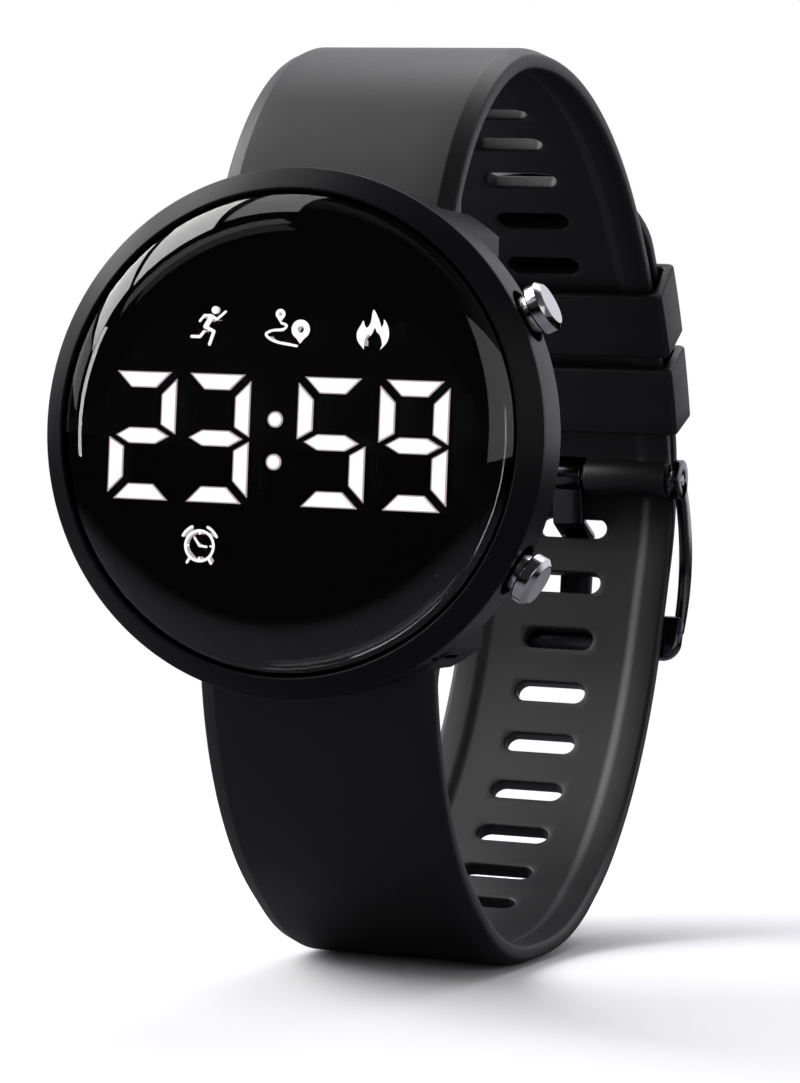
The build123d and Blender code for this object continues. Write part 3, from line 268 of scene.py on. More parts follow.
class StageSizes(bpy.types.PropertyGroup):
    """Camera, floor and lamps."""

    azimuth: turn("Azimuth", "Of the camera, from the front to the right", 19.49)
    elevation: turn("Elevation", "Of the camera", 1.34)
    roll: turn("Roll", "Of the camera", 2.32)
    distance: length("Distance", "From the dial", 297.3)
    shift_right: length("Right", "Camera to the right of the dial", 8.90)
    shift_up: length("Up", "Camera above the dial", -8.00)
    focal: length("Focal length", "With a sensor 36 mm high", 127.19)
    floor: FloatVectorProperty(name="Floor", description="Size of the floor", size=2, default=(6.0, 6.0))
    floor_colour: paint("Floor colour", "White paper", "#e6e6e9")
    floor_bounce: paint("Floor bounce", "How bright the pieces see the floor", "#78777c")
    melt_from: length("Melt from", "Where the floor begins to melt into the surround", 70.0)
    melt_to: length("Melt to", "Where the floor has melted into the surround", 205.0)
    room: FloatProperty(name="Room", description="Brightness in front of the watch", default=0.03)
    room_tint: paint("Room tint", "Colour of the room and the backdrop", "#f9f8ff")
    backdrop: FloatProperty(name="Backdrop", description="Brightness behind the watch", default=1.0)
    side: FloatProperty(name="Side", description="Brightness at the right", default=0.15)
    box_height: length("Soft box height", "Over the floor", 600.0)
    box_behind: length("Soft box place", "Behind the middle", 350.0)
    box_size: FloatVectorProperty(name="Soft box", description="Its size", size=2, default=(0.5, 0.4))
    box_brightness: FloatProperty(name="Soft box brightness", description="White is one", default=3.0)
    window_distance: length("Window distance", "From the dial", 600.0)


# Lamps that the lens's shoulder mirrors: where each starts and ends round the lens and on the
# shoulder's slope, in degrees, and its brightness
MIRRORED_LAMPS = {
    "window_pane_far_left": (168, 152, 25, 50, 1.2),
    "window_pane_left": (148, 131, 22, 52, 8.0),
    "window_pane_middle": (127.5, 106, 20, 52, 9.0),
    "window_pane_right": (102.5, 86, 23, 48, 2.6),
    "window_frame_strip": (187, 150, 19.5, 22.5, 10.0),
    "window_glow": (146, 90, 15, 18, 0.9),
    "window_fading_glow": (140, 90, 12, 15, 0.3),
    "panel_right": (-62, 48, 19, 50, 1.1),
}

GROUPS = {
    "watch_strap": StrapSizes,
    "watch_case": CaseSizes,
    "watch_display": DisplaySizes,
    "watch_buckle": BuckleSizes,
    "watch_finish": Finishes,
    "watch_stage": StageSizes,
}


# Meshes


def make_object(name, bm, material, body, sharp=35.0, replaces=()):
    """A finished piece: smooth shaded with sharp edges kept, riding on its CAD body."""
    bmesh.ops.recalc_face_normals(bm, faces=bm.faces)
    for face in bm.faces:
        face.smooth = True
    for edge in bm.edges:
        if len(edge.link_faces) == 2 and edge.calc_face_angle(0) > math.radians(sharp):
            edge.smooth = False
    mesh = bpy.data.meshes.new(name)
    bm.to_mesh(mesh)
    bm.free()
    mesh.materials.append(material)
    obj = bpy.data.objects.new(name, mesh)
    bpy.context.scene.collection.objects.link(obj)
    if body:
        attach(obj, body)
    if replaces:
        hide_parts(*replaces)
    return obj


def dial_point(across, up, forward):
    """A point given across, up and forward of the middle of the bezel's outer edge."""
    return Vector((across, DIAL_Y - forward, DIAL_Z + up))


DIAL = Matrix(((1, 0, 0, 0), (0, 0, -1, DIAL_Y), (0, 1, 0, DIAL_Z), (0, 0, 0, 1)))


def pusher_frame(side, sizes):
    """The matrix of a pusher: z runs out along it from the dial's axis."""
    angle = side * sizes.pusher_angle
    out = Vector((math.cos(angle), 0, math.sin(angle)))
    x = Vector((0, 1, 0))
    y = out.cross(x)
    turned = Matrix((x, y, out)).transposed().to_4x4()
    return Matrix.Translation(dial_point(0, 0, -sizes.pusher_depth)) @ turned


def join_rings(bm, low, high):
    """Faces between two closed rings of as many points, or between a ring and a pole."""
    faces = []
    count = max(len(low), len(high))
    for index in range(count):
        after = (index + 1) % count
        if len(low) == 1:
            corners = (low[0], high[after], high[index])
        elif len(high) == 1:
            corners = (low[index], low[after], high[0])
        else:
            corners = (low[index], low[after], high[after], high[index])
        faces.append(bm.faces.new(corners))
    return faces


def closed_tube(bm, rings):
    """Faces along open rows of rings and over both ends."""
    for low, high in zip(rings, rings[1:]):
        join_rings(bm, low, high)
    bm.faces.new(rings[0])
    bm.faces.new(rings[-1][::-1])


def round_turn(steps):
    """Angles once round."""
    return [2 * math.pi * step / steps for step in range(steps)]


def lathe(bm, profile, steps, matrix):
    """Adds a closed profile of radius and height turned about local z; radius zero makes a pole."""
    rings = []
    for radius, height in profile:
        spots = [(radius * math.cos(angle), radius * math.sin(angle), height) for angle in round_turn(steps)]
        if radius < POLE:
            spots = [(0.0, 0.0, height)]
        rings.append([bm.verts.new(matrix @ Vector(spot)) for spot in spots])
    pairs = list(zip(rings, rings[1:]))
    if len(rings[0]) > 1 and len(rings[-1]) > 1:
        pairs.append((rings[-1], rings[0]))
    for low, high in pairs:
        join_rings(bm, low, high)


def across_at(spot):
    """The matrix whose z runs across the watch through a spot of the side view."""
    return Matrix(((0, 0, 1, 0), (1, 0, 0, spot.x), (0, 1, 0, spot.y), (0, 0, 0, 1)))


def rounded(points, radius, steps=4, closed=False):
    """A polyline with its corners rounded, the ends of an open one kept."""
    nearly_straight = math.radians(176)
    most = 0.48  # the share of a side that one rounding may take
    out = []
    count = len(points)
    for index, point in enumerate(points):
        here = Vector(point)
        before = Vector(points[index - 1])
        after = Vector(points[(index + 1) % count])
        to_before = (before - here).normalized()
        to_after = (after - here).normalized()
        at_end = not closed and index in (0, count - 1)
        if at_end or to_before.angle(to_after) > nearly_straight:
            out.append(tuple(here))
            continue
        bend = to_before.angle(to_after)
        cut = min(radius / math.tan(bend / 2), (before - here).length * most, (after - here).length * most)
        real = cut * math.tan(bend / 2)
        centre = here + (to_before + to_after).normalized() * (real / math.sin(bend / 2))
        first, last = (here + side * cut - centre for side in (to_before, to_after))
        for step in range(steps + 1):
            out.append(tuple(centre + first.lerp(last, step / steps).normalized() * real))
    return out


def prism(bm, outline, low, high, place):
    """Adds a prism over a closed outline; place turns an outline point and a height to a point."""
    bottom, top = ([bm.verts.new(place(point, height)) for point in outline] for height in (low, high))
    return [bm.faces.new(bottom[::-1]), bm.faces.new(top)] + join_rings(bm, bottom, top)


def bevelled_prism(bm, outline, low, high, place, width, steps=3):
    """A prism whose sharp edges are rounded."""
    part = bmesh.new()
    prism(part, outline, low, high, place)
    bmesh.ops.recalc_face_normals(part, faces=part.faces)
    edges = [edge for edge in part.edges if edge.calc_face_angle(0) > math.radians(30)]
    bmesh.ops.bevel(part, geom=edges, offset=width, segments=steps, affect="EDGES", profile=0.5)
    add_mesh(bm, part)


def add_mesh(bm, part):
    """Adds the faces of a finished part to a mesh in hand and frees the part."""
    mesh = bpy.data.meshes.new("part")
    part.to_mesh(mesh)
    part.free()
    bm.from_mesh(mesh)
    bpy.data.meshes.remove(mesh)


def gathered(parts):
    """Parts that stand clear of each other as one mesh."""
    bm = bmesh.new()
    for part in parts:
        add_mesh(bm, part)
    return bm


def boolean(bm, cutters, operation):
    """The mesh in hand cut with, joined to or kept inside each cutter."""
    objects = []

    def hidden(mesh_in_hand, name):
        bmesh.ops.recalc_face_normals(mesh_in_hand, faces=mesh_in_hand.faces)
        mesh = bpy.data.meshes.new(name)
        mesh_in_hand.to_mesh(mesh)
        mesh_in_hand.free()
        obj = bpy.data.objects.new(name, mesh)
        bpy.context.scene.collection.objects.link(obj)
        objects.append(obj)
        return obj

    base = hidden(bm, "base")
    for cutter in cutters:
        modifier = base.modifiers.new("cut", "BOOLEAN")
        modifier.operation = operation
        modifier.solver = "EXACT"
        modifier.object = hidden(cutter, "cutter")
    bpy.context.view_layer.update()
    depsgraph = bpy.context.evaluated_depsgraph_get()
    result = bmesh.new()
    result.from_mesh(base.evaluated_get(depsgraph).to_mesh())
    for obj in objects:
        mesh = obj.data
        bpy.data.objects.remove(obj)
        bpy.data.meshes.remove(mesh)
    return result


# Materials


def linear(code):
    """An sRGB hex value as the linear colour that a shader takes."""
    channels = [int(code[index:index + 2], 16) / 255 for index in (1, 3, 5)]
    return tuple(c / 12.92 if c <= 0.04045 else ((c + 0.055) / 1.055) ** 2.4 for c in channels) + (1.0,)


def add_node(material, kind, inputs=None, **settings):
    """Adds a node to a material, with its settings and with values or sockets for its inputs."""
    tree = material.node_tree
    node = tree.nodes.new(kind)
    for name, value in settings.items():
        setattr(node, name, value)
    for name, value in (inputs or {}).items():
        if isinstance(value, bpy.types.NodeSocket):
            tree.links.new(value, node.inputs[name])
        else:
            node.inputs[name].default_value = value
    return node


def new_material(name):
    """An empty node material."""
    material = bpy.data.materials.new(name)
    material.use_nodes = True
    material.node_tree.nodes.clear()
    return material


def surface(material, shader):
    """Sets the shader that a material ends in."""
    add_node(material, "ShaderNodeOutputMaterial", {"Surface": shader.outputs[0]})
    return material


def grain(material, pitch, detail=2.0, stretch=(1.0, 1.0, 1.0)):
    """Noise whose grains are a real distance apart in object space, or finer along an axis."""
    place = add_node(material, "ShaderNodeTexCoord")
    inputs = {"Vector": place.outputs["Object"], "Scale": stretch}
    turned = add_node(material, "ShaderNodeMapping", inputs)
    inputs = {"Vector": turned.outputs["Vector"], "Scale": 1.0 / pitch, "Detail": detail}
    return add_node(material, "ShaderNodeTexNoise", inputs)


def spread(material, pattern, low, high):
    """A value that follows a pattern between two limits."""
    inputs = {"Value": pattern.outputs["Fac"], "To Min": low, "To Max": high}
    return add_node(material, "ShaderNodeMapRange", inputs).outputs["Result"]


def relief(material, pattern, strength, depth):
    """A surface direction that follows a pattern of a real depth."""
    inputs = {"Height": pattern.outputs["Fac"], "Strength": strength, "Distance": depth}
    return add_node(material, "ShaderNodeBump", inputs).outputs["Normal"]


def principled(material, code, roughness, inputs):
    """Ends a material in one shader of an sRGB colour."""
    inputs = {"Base Color": linear(code), "Roughness": roughness} | inputs
    return surface(material, add_node(material, "ShaderNodeBsdfPrincipled", inputs))


def moulded_silicone(finish):
    """Silicone rubber moulded in a fine-blasted tool: a soft sheen with a faint dry grain."""
    material = new_material("Moulded silicone rubber")
    grit = grain(material, 0.35 * MM)
    normal = relief(material, grit, 0.08, 0.02 * MM)
    return principled(
        material, finish.silicone, spread(material, grit, 0.40, 0.50),
        {"IOR": 1.41, "Specular IOR Level": 0.4, "Normal": normal},
    )


def satin_abs(finish):
    """ABS moulded with a satin spark texture: dark, with soft broad highlights."""
    material = new_material("Satin moulded ABS")
    grit = grain(material, 0.25 * MM)
    normal = relief(material, grit, 0.06, 0.015 * MM)
    return principled(
        material, finish.case, spread(material, grit, 0.30, 0.38),
        {"Specular IOR Level": 0.1, "Normal": normal},
    )


def polished_acrylic(finish):
    """Clear acrylic, cast and polished: mirror-smooth, it shows the black print behind it."""
    material = new_material("Polished acrylic lens")
    return principled(material, finish.lens, 0.02, {"IOR": 1.49, "Transmission Weight": 1.0})


def black_print(finish):
    """Screen-printed black ink: it swallows nearly all light."""
    material = new_material("Black screen print")
    rough = spread(material, grain(material, 1.2 * MM), 0.58, 0.62)
    return principled(material, finish.mask, rough, {"Specular IOR Level": 0.01})


def lit_diffuser(finish):
    """A milky diffuser lit from behind: even white, a little duller at its rim."""
    material = new_material("Lit milky diffuser")
    glow = add_node(material, "ShaderNodeVertexColor", layer_name="Glow")
    colours = {"Factor": glow.outputs["Color"], "A": linear(finish.light_edge), "B": linear(finish.light)}
    colour = add_node(material, "ShaderNodeMix", colours, data_type="RGBA")
    return principled(
        material, finish.diffuser, 0.5, {"Emission Color": colour.outputs["Result"], "Emission Strength": 1.2}
    )


def polished_metal(name, code, roughness, smear):
    """Polished plated steel: sharp reflections broken by hairline polishing marks."""
    material = new_material(name)
    marks = grain(material, 0.6 * MM, 3.0, (1.0, 6.0, 1.0))
    rough = spread(material, marks, roughness, roughness + smear)
    return principled(material, code, rough, {"Metallic": 1.0})


def brushed_back(finish):
    """Stainless steel brushed in circles: fine rings round the dial's axis."""
    material = new_material("Circular brushed steel")
    place = add_node(material, "ShaderNodeTexCoord")
    centred = add_node(
        material, "ShaderNodeVectorMath",
        {0: place.outputs["Object"], 1: (0.0, DIAL_Y, DIAL_Z)}, operation="SUBTRACT",
    )
    parts = add_node(material, "ShaderNodeSeparateXYZ", {"Vector": centred.outputs["Vector"]})
    flat = add_node(material, "ShaderNodeCombineXYZ", {"X": parts.outputs["X"], "Y": parts.outputs["Z"]})
    reach = add_node(material, "ShaderNodeVectorMath", {0: flat.outputs["Vector"]}, operation="LENGTH")
    lines = add_node(
        material, "ShaderNodeTexNoise",
        {"W": reach.outputs["Value"], "Scale": 1.0 / (0.08 * MM), "Detail": 2.0}, noise_dimensions="1D",
    )
    normal = relief(material, lines, 0.2, 0.01 * MM)
    return principled(material, finish.back, 0.32, {"Metallic": 1.0, "Normal": normal})


def solder_mask(finish):
    """Green solder mask on a glass-fibre board: glossy lacquer over a faint weave."""
    material = new_material("Green solder mask")
    normal = relief(material, grain(material, 0.5 * MM), 0.1, 0.01 * MM)
    return principled(material, finish.board, 0.35, {"IOR": 1.5, "Normal": normal})


MAKERS = {
    "silicone": moulded_silicone,
    "abs": satin_abs,
    "acrylic": polished_acrylic,
    "print": black_print,
    "diffuser": lit_diffuser,
    "chrome": lambda finish: polished_metal("Dark polished chrome", finish.pusher, 0.10, 0.08),
    "black metal": lambda finish: polished_metal("Black plated steel", finish.buckle, 0.12, 0.1),
    "steel": lambda finish: polished_metal("Bright drawn steel", finish.steel, 0.22, 0.12),
    "back": brushed_back,
    "board": solder_mask,
}
made = {}


def finish_of(name):
    """The material of a finish, made when first asked for."""
    if name not in made:
        made[name] = MAKERS[name](bpy.context.scene.watch_finish)
    return made[name]


# The strap's loop


class LoopPath:
    """The side view of a strap's outer surface: tangent bends and straights, walked by length."""

    def __init__(self, start, heading, outward_left):
        self.runs = []
        self.length = 0.0
        self.end = start
        self.heading = heading
        self.centre = None
        self.soft = None
        self.side = 1 if outward_left else -1

    def straight(self, length):
        self.runs.append((self.length, self.end, self.heading, 0.0, length))
        self.end = ahead(self.end, self.heading, length)
        self.length += length
        return self

    def bend(self, radius, turned):
        self.runs.append((self.length, self.end, self.heading, math.copysign(1 / radius, turned), 0.0))
        quarter = math.copysign(math.pi / 2, turned)
        self.centre = ahead(self.end, self.heading + quarter, radius)
        self.heading += turned
        self.end = ahead(self.centre, self.heading - quarter, radius)
        self.length += radius * abs(turned)
        return self

    def at(self, distance):
        """Point and heading at a length along the path, carried straight on past its ends."""
        run = self.runs[0]
        for later in self.runs:
            if later[0] <= distance:
                run = later
        start, point, heading, curve, _ = run
        along = distance - start
        if distance < 0 or curve == 0.0:
            return ahead(point, heading, along), heading
        if distance > self.length:
            return ahead(self.end, self.heading, distance - self.length), self.heading
        turned = curve * along
        quarter = math.copysign(math.pi / 2, curve)
        centre = ahead(point, heading + quarter, 1 / abs(curve))
        return ahead(centre, heading + turned - quarter, 1 / abs(curve)), heading + turned

    def off(self, distance, outward):
        """The point off the surface at a length along it, averaged along the soft stretch."""
        point, heading = self.at(distance)
        if self.soft:
            first, last, width = self.soft
            width = max(0.0, min(width, distance - first, last - distance))
            if width > 0.0:
                around = [self.at(distance + width * share / 6)[0] for share in range(-6, 7)]
                point = sum(around, Vector((0.0, 0.0))) / len(around)
                before, after = (self.at(distance + side * width / 2)[0] for side in (-1, 1))
                heading = math.atan2(after.y - before.y, after.x - before.x)
        return ahead(point, heading + self.side * math.pi / 2, outward)

    def nearest(self, target):
        """The length along the path at its point nearest a target."""
        steps = 4000
        gaps = [(self.at(self.length * step / steps)[0] - target).length for step in range(steps + 1)]
        return self.length * gaps.index(min(gaps)) / steps


def ahead(point, heading, length):
    """The point a length further along a heading in the side view."""
    return point + Vector((math.cos(heading), math.sin(heading))) * length


def loop_paths(strap):
    """The paths of both straps, the three bars and the middle of the back bend."""
    front = LoopPath(Vector((-strap.flat, 0.0)), math.pi, True)
    front.bend(strap.toe_radius, -strap.toe_turn)
    front.bend(strap.shin_radius, -strap.shin_turn)
    front.bend(strap.front_radius, -strap.front_turn)
    front.straight(strap.front_straight)
    lower_bar = ahead(front.end, front.heading - math.pi / 2, strap.knuckle)
    upper_bar = Vector((lower_bar.x, 2 * DIAL_Z - lower_bar.y))

    start = ahead(upper_bar, strap.crown_heading + math.pi / 2, strap.knuckle)
    short = LoopPath(start, strap.crown_heading, True)
    short.straight(strap.crown_straight)
    short.bend(strap.crown_radius, -strap.crown_turn)
    short.bend(strap.shoulder_radius, -strap.shoulder_turn)
    short.bend(strap.back_radius, -strap.back_turn)
    centre = short.centre
    buckle_bar = ahead(short.end, short.heading - math.pi / 2, strap.buckle_knuckle)

    long = LoopPath(front.end, front.heading - math.pi, False)
    long.straight(strap.front_straight)
    long.bend(strap.front_radius, strap.front_turn)
    long.bend(strap.shin_radius, strap.shin_turn)
    toe_start = long.length
    long.bend(strap.toe_radius, strap.toe_turn)
    outer = strap.back_radius + strap.layer_gap + strap.thickness
    quarter = math.pi / 2
    heading = strap.heel_turn + strap.rear_turn
    swing_centre = ahead(centre, heading + strap.swing_turn - quarter, outer - strap.swing_radius)
    swing_start = ahead(swing_centre, heading - quarter, strap.swing_radius)
    rear_end = ahead(swing_start, heading, -strap.rear_straight)
    heel_step = LoopPath(Vector((0.0, 0.0)), 0.0, False).bend(strap.heel_radius, strap.heel_turn).end
    unit_step = LoopPath(Vector((0.0, 0.0)), strap.heel_turn, False).bend(1.0, strap.rear_turn).end
    rear_radius = (rear_end.y - heel_step.y) / unit_step.y
    rear_flat = rear_end.x - heel_step.x - rear_radius * unit_step.x
    long.straight(strap.flat + rear_flat)
    long.bend(strap.heel_radius, strap.heel_turn)
    long.soft = (toe_start - strap.softening * 2, long.length + strap.softening * 2, strap.softening)
    long.bend(rear_radius, strap.rear_turn)
    long.straight(strap.rear_straight)
    long.bend(strap.swing_radius, strap.swing_turn)
    long.bend(outer, strap.tip_turn)
    return {
        "short": short,
        "long": long,
        "upper bar": upper_bar,
        "lower bar": lower_bar,
        "buckle bar": buckle_bar,
        "back middle": centre,
        "outer radius": outer,
    }


# The section's inner side: distances in from the strap's edge in mm, with heights over the border's
# face in mm, and then with shares of the panel's drop
INNER_EDGE = ((0.0, 0.35), (0.06, 0.15), (0.22, 0.03), (0.5, 0.0), (1.4, 0.0), (2.1, 0.0))
PANEL_EDGE = ((2.4, 0.067), (2.65, 0.35), (2.9, 0.75), (3.15, 0.97), (3.4, 1.0))

TIP_DEGREES = (*range(0, 86, 5), 88, 89.5)
SLOT_STEPS = 32


def strap_section(strap):
    """The moulded section: bevelled edges outside, a panel inside its border, as x and height."""
    half, deep = strap.width / 2, strap.thickness
    inside = [(half - far * MM, over * MM - deep) for far, over in INNER_EDGE]
    inside += [(half - far * MM, share * strap.panel_drop - deep) for far, share in PANEL_EDGE]
    inside += [(share * half, strap.panel_drop - deep) for share in (0.4, 0.2, 0.0)]
    outside = [(0.6 * half, 0.0), (half - strap.bevel_width, 0.0), (half, -strap.bevel_depth), inside[0]]
    right = [(0.0, 0.0), (0.3 * half, 0.0)] + rounded(outside, strap.bevel_softness, 3) + inside[1:]
    return right + [(-x, y) for x, y in right[-2:0:-1]]


def flat_strap(strap, total, start_depth, end_depth, round_end):
    """The strap laid out flat: x across, y along, z out of its outer surface."""
    section = strap_section(strap)
    half = strap.width / 2
    rows = max(2, round(total / strap.step))
    stations = [total * row / rows for row in range(rows + 1)]
    if round_end:
        stations = [s for s in stations if s < total - half]
        stations += [total - half * (1 - math.sin(math.radians(angle))) for angle in TIP_DEGREES]
    bm = bmesh.new()
    rings = []
    for s in stations:
        share = 1.0
        if round_end and s > total - half:
            share = math.sqrt(max(0.0, 1 - ((s - total + half) / half) ** 2))
        thicker = 0.0
        ends = ((start_depth, s, strap.lug_taper), (end_depth, total - s, strap.buckle_taper))
        for depth, near, reach in ends:
            if depth and near < reach:
                grow = 1 - near / reach
                thicker = max(thicker, (depth - strap.thickness) * grow * grow * (3 - 2 * grow))
        ring = []
        for x, z in section:
            sunk = thicker * min(1.0, max(0.0, (-z - strap.taper_from) / strap.taper_over))
            ring.append(bm.verts.new((x * share, s, z - sunk)))
        rings.append(ring)
    closed_tube(bm, rings)
    return bm


def slot_cutter(strap, distance):
    """A round-ended cutter whose ends flare, so that a slot's edges come out rounded."""
    half = strap.slot_length / 2 - strap.slot_width / 2
    edge = strap.slot_edge
    floor = strap.panel_drop - strap.thickness
    flare = [math.radians(degrees) for degrees in (20, 45, 70, 90)]
    inset = [(edge * (1 - math.cos(angle)), edge * (1 - math.sin(angle))) for angle in flare]
    levels = [(strap.thickness, edge), (strap.slot_spare, edge)]
    levels += [(-deep, wider) for deep, wider in inset]
    levels += [(floor + deep, wider) for deep, wider in reversed(inset)]
    levels += [(floor - strap.slot_spare, edge), (floor - strap.thickness, edge)]
    bm = bmesh.new()
    rings = []
    for height, wider in levels:
        ring = []
        radius = strap.slot_width / 2 + wider
        for turned in round_turn(SLOT_STEPS):
            angle = turned + math.pi / SLOT_STEPS
            x = radius * math.cos(angle) + math.copysign(half, math.cos(angle))
            ring.append(bm.verts.new((x, distance + radius * math.sin(angle), height)))
        rings.append(ring)
    closed_tube(bm, rings)
    return bm


def bend_to(bm, path):
    """Bends a flat strap onto its path."""
    tall = [face for face in bm.faces if len(face.verts) > 4]
    bmesh.ops.triangulate(bm, faces=tall)
    for vert in bm.verts:
        x, s, z = vert.co
        point = path.off(s, z)
        vert.co = (x, point.x, point.y)


def add_knuckle(bm, bar, low, high, end):
    """A strap's rolled end round a bar, its ends an outline of radius and depth in from the side."""
    profile = [(0.0, low)] + [(radius, low + deep) for radius, deep in end]
    profile += [(radius, high - deep) for radius, deep in reversed(end)] + [(0.0, high)]
    lathe(bm, profile, SMALL_STEPS, across_at(bar))


def lug_knuckle(bm, strap, bar):
    """The whole-width knuckle at a lug bar, its ends bevelled like the strap."""
    half, radius = strap.width / 2, strap.knuckle
    corners = [(0.0, 0.0), (radius - strap.bevel_depth, 0.0), (radius, strap.bevel_width), (radius, half)]
    add_knuckle(bm, bar, -half, half, rounded(corners, strap.bevel_softness)[1:-1])


def finish_strap(name, bm, node):
    """Hands over a strap."""
    make_object(name, bm, finish_of("silicone"), "watch", replaces=[node])


class WATCH_OT_short_strap(bpy.types.Operator):
    """Build the short strap, from the upper lugs to the buckle bar"""

    bl_idname = "watch.short_strap"
    bl_label = "Short Strap"

    def execute(self, context):
        strap = context.scene.watch_strap
        paths = loop_paths(strap)
        path = paths["short"]
        half, notch = strap.width / 2, strap.tongue_notch / 2
        radius, edge = strap.buckle_knuckle, strap.buckle_knuckle_edge
        reach = radius + strap.notch_gap
        bm = flat_strap(strap, path.length, 2 * strap.knuckle, 2 * radius, False)
        places = [strap.first_short_slot + strap.slot_pitch * index for index in range(strap.short_slots)]
        cutters = [slot_cutter(strap, place) for place in places]
        cutters.append(block((-notch, path.length - reach, -OVERRUN), (notch, path.length + reach, OVERRUN)))
        bm = boolean(bm, [gathered(cutters)], "DIFFERENCE")
        bend_to(bm, path)
        lug_knuckle(bm, strap, paths["upper bar"])
        quarter = edge * 0.3  # a quarter round's middle, in from both its sides
        end = [(radius - edge, 0.0), (radius - quarter, quarter), (radius, edge)]
        for low, high in ((notch, half), (-half, -notch)):
            add_knuckle(bm, paths["buckle bar"], low, high, end)
        finish_strap("short_silicone_strap", bm, "strap_short")
        return {"FINISHED"}


class WATCH_OT_long_strap(bpy.types.Operator):
    """Build the long strap, from the lower lugs under the watch to its free tip"""

    bl_idname = "watch.long_strap"
    bl_label = "Long Strap"

    def execute(self, context):
        strap = context.scene.watch_strap
        paths = loop_paths(strap)
        path = paths["long"]
        bm = flat_strap(strap, path.length, 2 * strap.knuckle, 0.0, True)
        in_use = path.nearest(paths["buckle bar"]) - strap.slot_from_bar
        slots = range(-strap.slots_below, strap.slots_above + 1)
        cutters = [slot_cutter(strap, in_use + strap.slot_pitch * index) for index in slots]
        bm = boolean(bm, [gathered(cutters)], "DIFFERENCE")
        bend_to(bm, path)
        lug_knuckle(bm, strap, paths["lower bar"])
        finish_strap("long_silicone_strap", bm, "strap_long")
        return {"FINISHED"}


def keeper_mesh(strap, paths, middle):
    """A closed band round both layers, with soft edges, bent about the back bend's middle."""
    inside = strap.back_radius - strap.thickness - strap.keeper_gap
    outside = paths["outer radius"] + strap.keeper_gap
    half = strap.width / 2 + strap.keeper_side_gap
    reach = strap.keeper_length / 2
    soft = strap.keeper_edge
    bm = bmesh.new()

    def ring(wall, side_wall, corner, angle):
        wide, low, high = half + side_wall, inside - wall, outside + wall
        points = [(wide, low), (wide, high), (-wide, high), (-wide, low)]
        verts = []
        for x, radius in rounded(points, corner, 6, closed=True):
            spot = ahead(paths["back middle"], angle, radius)
            verts.append(bm.verts.new((x, spot.x, spot.y)))
        return verts

    stations = []
    for degrees in (0, 30, 60, 90):
        bend = math.radians(degrees)
        stations.append((soft * (1 - math.sin(bend)) - reach, soft * (1 - math.cos(bend))))
    stations = sorted(stations) + [(share * (reach - soft), 0.0) for share in (-0.5, 0.0, 0.5)]
    stations += [(-along, inset) for along, inset in sorted(stations[:4], reverse=True)]
    outer_rings, inner_rings = [], []
    for along, inset in stations:
        angle = middle + along / strap.back_radius
        wall, side_wall = strap.keeper_wall - inset, strap.keeper_side_wall - inset
        outer_rings.append(ring(wall, side_wall, strap.keeper_corner, angle))
        inner_rings.append(ring(inset, inset, strap.keeper_side_gap + inset, angle))
    for rings in (outer_rings, inner_rings):
        for low, high in zip(rings, rings[1:]):
            join_rings(bm, low, high)
    join_rings(bm, outer_rings[0], inner_rings[0])
    join_rings(bm, outer_rings[-1], inner_rings[-1])
    return bm


class WATCH_OT_keepers(bpy.types.Operator):
    """Build the two keepers that hold the free end"""

    bl_idname = "watch.keepers"
    bl_label = "Keepers"

    def execute(self, context):
        strap = context.scene.watch_strap
        paths = loop_paths(strap)
        for name, middle, body, node in (
            ("upper_keeper_band", strap.upper_keeper, "upper_loop", "upper_keeper"),
            ("lower_keeper_band", strap.lower_keeper, "lower_loop", "lower_keeper"),
        ):
            bm = keeper_mesh(strap, paths, middle)
            make_object(name, bm, finish_of("silicone"), body, replaces=[node])
        return {"FINISHED"}


# Case

# Sizes that only the case follows
FRONT_EDGE = 0.1 * MM  # bevel of the front edge and of the pusher pockets
WALL_EDGE = 0.5 * MM  # rounding of the wall's corners
MASK_SEAT = 18.08 * MM  # radius of the bore that seats the mask
MASK_FLOOR = 0.9 * MM  # depth of that bore
BOARD_ROOM = 17.2 * MM  # radius of the room behind the mask
BOARD_FLOOR = 4.0 * MM  # depth of that room
MODULE_ROOM = 16.0 * MM  # radius of the room behind the board
MODULE_FLOOR = 6.0 * MM  # depth of that room
BATTERY_ROOM = 10.9 * MM  # radius of the opening in the back
LUG_FRONT = 2.3 * MM  # from the bezel to a lug
LUG_ROOT = 11.2 * MM  # height of a lug's inner end
LUG_HEEL = 12.6 * MM  # height at which a lug leaves the rear face
LUG_FOOT = 14.2 * MM  # height at which a lug's own rear face begins
LUG_EDGE = 0.35 * MM  # rounding of a lug
LUG_SPARE = 2.0 * MM  # how far a lug is made past the case before it is trimmed
POCKET_REACH = 30.0 * MM  # how far a strap's pocket is cut, from the dial's middle
POCKET_SPARE = 3.0 * MM  # how far a pusher's pocket is cut past the case


def cross_cylinder(spot, radius, half_length):
    """A closed cylinder across the watch through a spot of the side view."""
    bm = bmesh.new()
    ends = [(0.0, -half_length), (radius, -half_length), (radius, half_length), (0.0, half_length)]
    lathe(bm, ends, SMALL_STEPS, across_at(spot))
    return bm


def block(low, high):
    """A closed block between two corners."""
    bm = bmesh.new()
    outline = [(low[0], low[1]), (high[0], low[1]), (high[0], high[1]), (low[0], high[1])]
    prism(bm, outline, low[2], high[2], lambda point, z: (point[0], point[1], z))
    return bm


